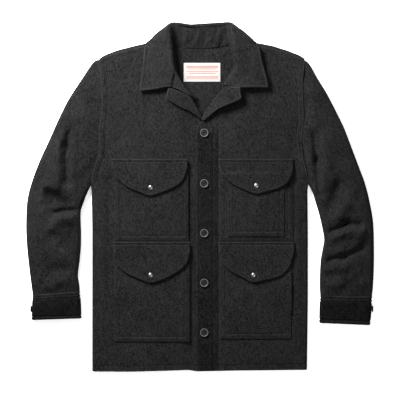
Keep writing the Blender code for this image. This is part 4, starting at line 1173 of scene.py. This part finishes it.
for which, (top, left, right, lower) in FLAPS.items():
    columns = np.linspace(left + FLAP_ROW, right - FLAP_ROW, 70)
    low = softened(lower, columns, 3)
    slope = np.gradient(low, columns)
    edge = list(zip(columns, low + FLAP_ROW * np.sqrt(1 + np.minimum(slope ** 2, 4))))
    stitches("stitching_flap_" + which, "flap_%s_cloth" % which,
             [edge, level(top - FLAP_ROW, left + 3, right - 3)])

for name, table, inward in (("right", COLLAR[:7], 1), ("left", COLLAR[:-7:-1], -1)):
    end = [(table[0][k], table[0][k + 1] + EDGE_ROW) for k in (6, 9, 12)]
    outer = [(row[12] + inward * EDGE_ROW, row[13]) for row in table[1:]]
    corner = (table[0][12] + inward * EDGE_ROW, table[0][13] + EDGE_ROW)
    stitches("stitching_leaf_" + name, "collar_cloth", [end[:2] + [corner], [corner] + outer])
for name, table in (("right", RIGHT_LAPEL), ("left", LEFT_LAPEL)):
    rx, ry, ex, ey = smooth_rows(table[:5], np.linspace(0, 4, 40)).T
    share = 1 - EDGE_ROW / np.hypot(ex - rx, ey - ry)
    stitches("stitching_lapel_" + name, "lapel_%s_cloth" % name,
             [list(zip(rx + (ex - rx) * share, ry + (ey - ry) * share))])
for name, stations in (("right", RIGHT_CUFF), ("left", LEFT_CUFF)):
    lines = []
    for row in CUFF_ROWS:
        ox, oy, ix, iy = smooth_rows(stations, [3 * row / CUFF_LENGTH])[0][:4]
        lines.append([(ox + (ix - ox) * share, oy + (iy - oy) * share)
                      for share in np.linspace(0.07, 0.93, 30)])
    stitches("stitching_cuff_" + name, "cuff_%s_band" % name, lines)

# Bar tacks and buttonholes
# Close bars of thread at the lower ends of the hand openings and below the last button, a cross
# of thread on each front button, and corded buttonholes: one in the left lapel and one at each
# front button, mostly under it.
SATIN_STEP, SATIN_REACH, SLIT, CROSS = 0.8, 2.1, 0.35, 1.9
ONE_EACH = 9            # a pitch longer than any of these lines, so that each gets one thread
# From x, y to x, y
LAPEL_HOLE, LAST_TACK = (66.8, 251.3, 73.4, 230.6), (6, -344.6, 14, -344.6)


def bar(x0, y0, x1, y1, low, high):
    """Short threads across a line, from low to high away from it."""
    length = math.hypot(x1 - x0, y1 - y0)
    across_x, across_y = (y0 - y1) / length, (x1 - x0) / length
    lines = []
    for share in np.linspace(0, 1, int(length / SATIN_STEP) + 1):
        x, y = x0 + (x1 - x0) * share, y0 + (y1 - y0) * share
        lines.append([(x + across_x * low, y + across_y * low),
                      (x + across_x * high, y + across_y * high)])
    return lines


def buttonhole(x0, y0, x1, y1):
    return bar(x0, y0, x1, y1, SLIT, SATIN_REACH) + bar(x0, y0, x1, y1, -SATIN_REACH, -SLIT)


for name, x0, x1 in (("right", -200, -185), ("left", 214, 199)):
    y = HAND_OPENING[0] - 2
    stitches("bar_tack_" + name, "patch_lower_" + name, bar(x0, y, x1, y, -1.5, 1.5), 3.0,
             ONE_EACH, 0)
for number, y in enumerate(BUTTON_Y, 1):
    cross = [[(BUTTON_X - CROSS, y - turn * CROSS), (BUTTON_X + CROSS, y + turn * CROSS)]
             for turn in (1, -1)]
    stitches("button_thread_%d" % number, "front_button_%d" % number, cross, 2.7 * CROSS,
             ONE_EACH, 0)
reach = SATIN_REACH - SLIT
holes = [thread for y in BUTTON_Y for thread in buttonhole(18, y, 28.3, y)]
stitches("buttonholes", "front_left_panel", holes, reach, ONE_EACH, 0)
stitches("tack_below_buttons", "front_left_panel", bar(*LAST_TACK, -1.2, 1.2), 2.4, ONE_EACH, 0)
stitches("lapel_buttonhole", "lapel_left_cloth", buttonhole(*LAPEL_HOLE), reach, ONE_EACH, 0)

# The stage
# A plain pale floor, one soft key light from the upper left, a weak fill, and a camera straight
# above the jacket.
FLOOR_REACH, FLOOR_DROP = 6, 0.0004
floor_mesh = bpy.data.meshes.new("floor")
floor_mesh.from_pydata([(i * FLOOR_REACH, j * FLOOR_REACH, -FLOOR_DROP)
                        for i, j in ((-1, -1), (1, -1), (1, 1), (-1, 1))], [], [(0, 1, 2, 3)])
floor = bpy.data.objects.new("floor", floor_mesh)
bpy.context.scene.collection.objects.link(floor)
paper, _, shader = begun_material("pale_paper")
for name, value in (("Base Color", (0.95, 0.95, 0.95, 1)), ("Roughness", 0.9),
                    ("Emission Color", (1, 1, 1, 1)), ("Emission Strength", 0.45)):
    shader.inputs[name].default_value = value
floor_mesh.materials.append(paper)


def soft_light(name, place, aim, size, power):
    data = bpy.data.lights.new(name, "AREA")
    data.shape, data.size, data.energy = "DISK", size, power
    made = bpy.data.objects.new(name, data)
    made.location = place
    made.rotation_euler = (Vector(aim) - Vector(place)).to_track_quat("-Z", "Y").to_euler()
    bpy.context.scene.collection.objects.link(made)


soft_light("key_light", (-0.82, 1.25, 0.95), (0.0, 0.0, 0.0), 0.62, 150)
soft_light("fill_light", (0.9, -0.9, 2.2), (0.1, -0.2, 0), 1.6, 26)
world = bpy.data.worlds.new("studio")
world.use_nodes = True
world.node_tree.nodes["Background"].inputs["Color"].default_value = (1, 1, 1, 1)
world.node_tree.nodes["Background"].inputs["Strength"].default_value = 0.32
bpy.context.scene.world = world
bpy.context.scene.view_settings.view_transform = "Standard"

# Camera: its height and y, the height that the picture's scale holds at, and the picture's width
CAMERA_HEIGHT, CAMERA_Y, SCALE_HEIGHT, PICTURE_WIDTH = 3.4, -0.007, 0.012, 0.944
SENSOR_WIDTH = 36
camera_data = bpy.data.cameras.new("camera")
camera_data.sensor_width = SENSOR_WIDTH
camera_data.lens = SENSOR_WIDTH * (CAMERA_HEIGHT - SCALE_HEIGHT) / PICTURE_WIDTH
camera = bpy.data.objects.new("camera", camera_data)
camera.location = (0, CAMERA_Y, CAMERA_HEIGHT)
bpy.context.scene.collection.objects.link(camera)
bpy.context.scene.camera = camera
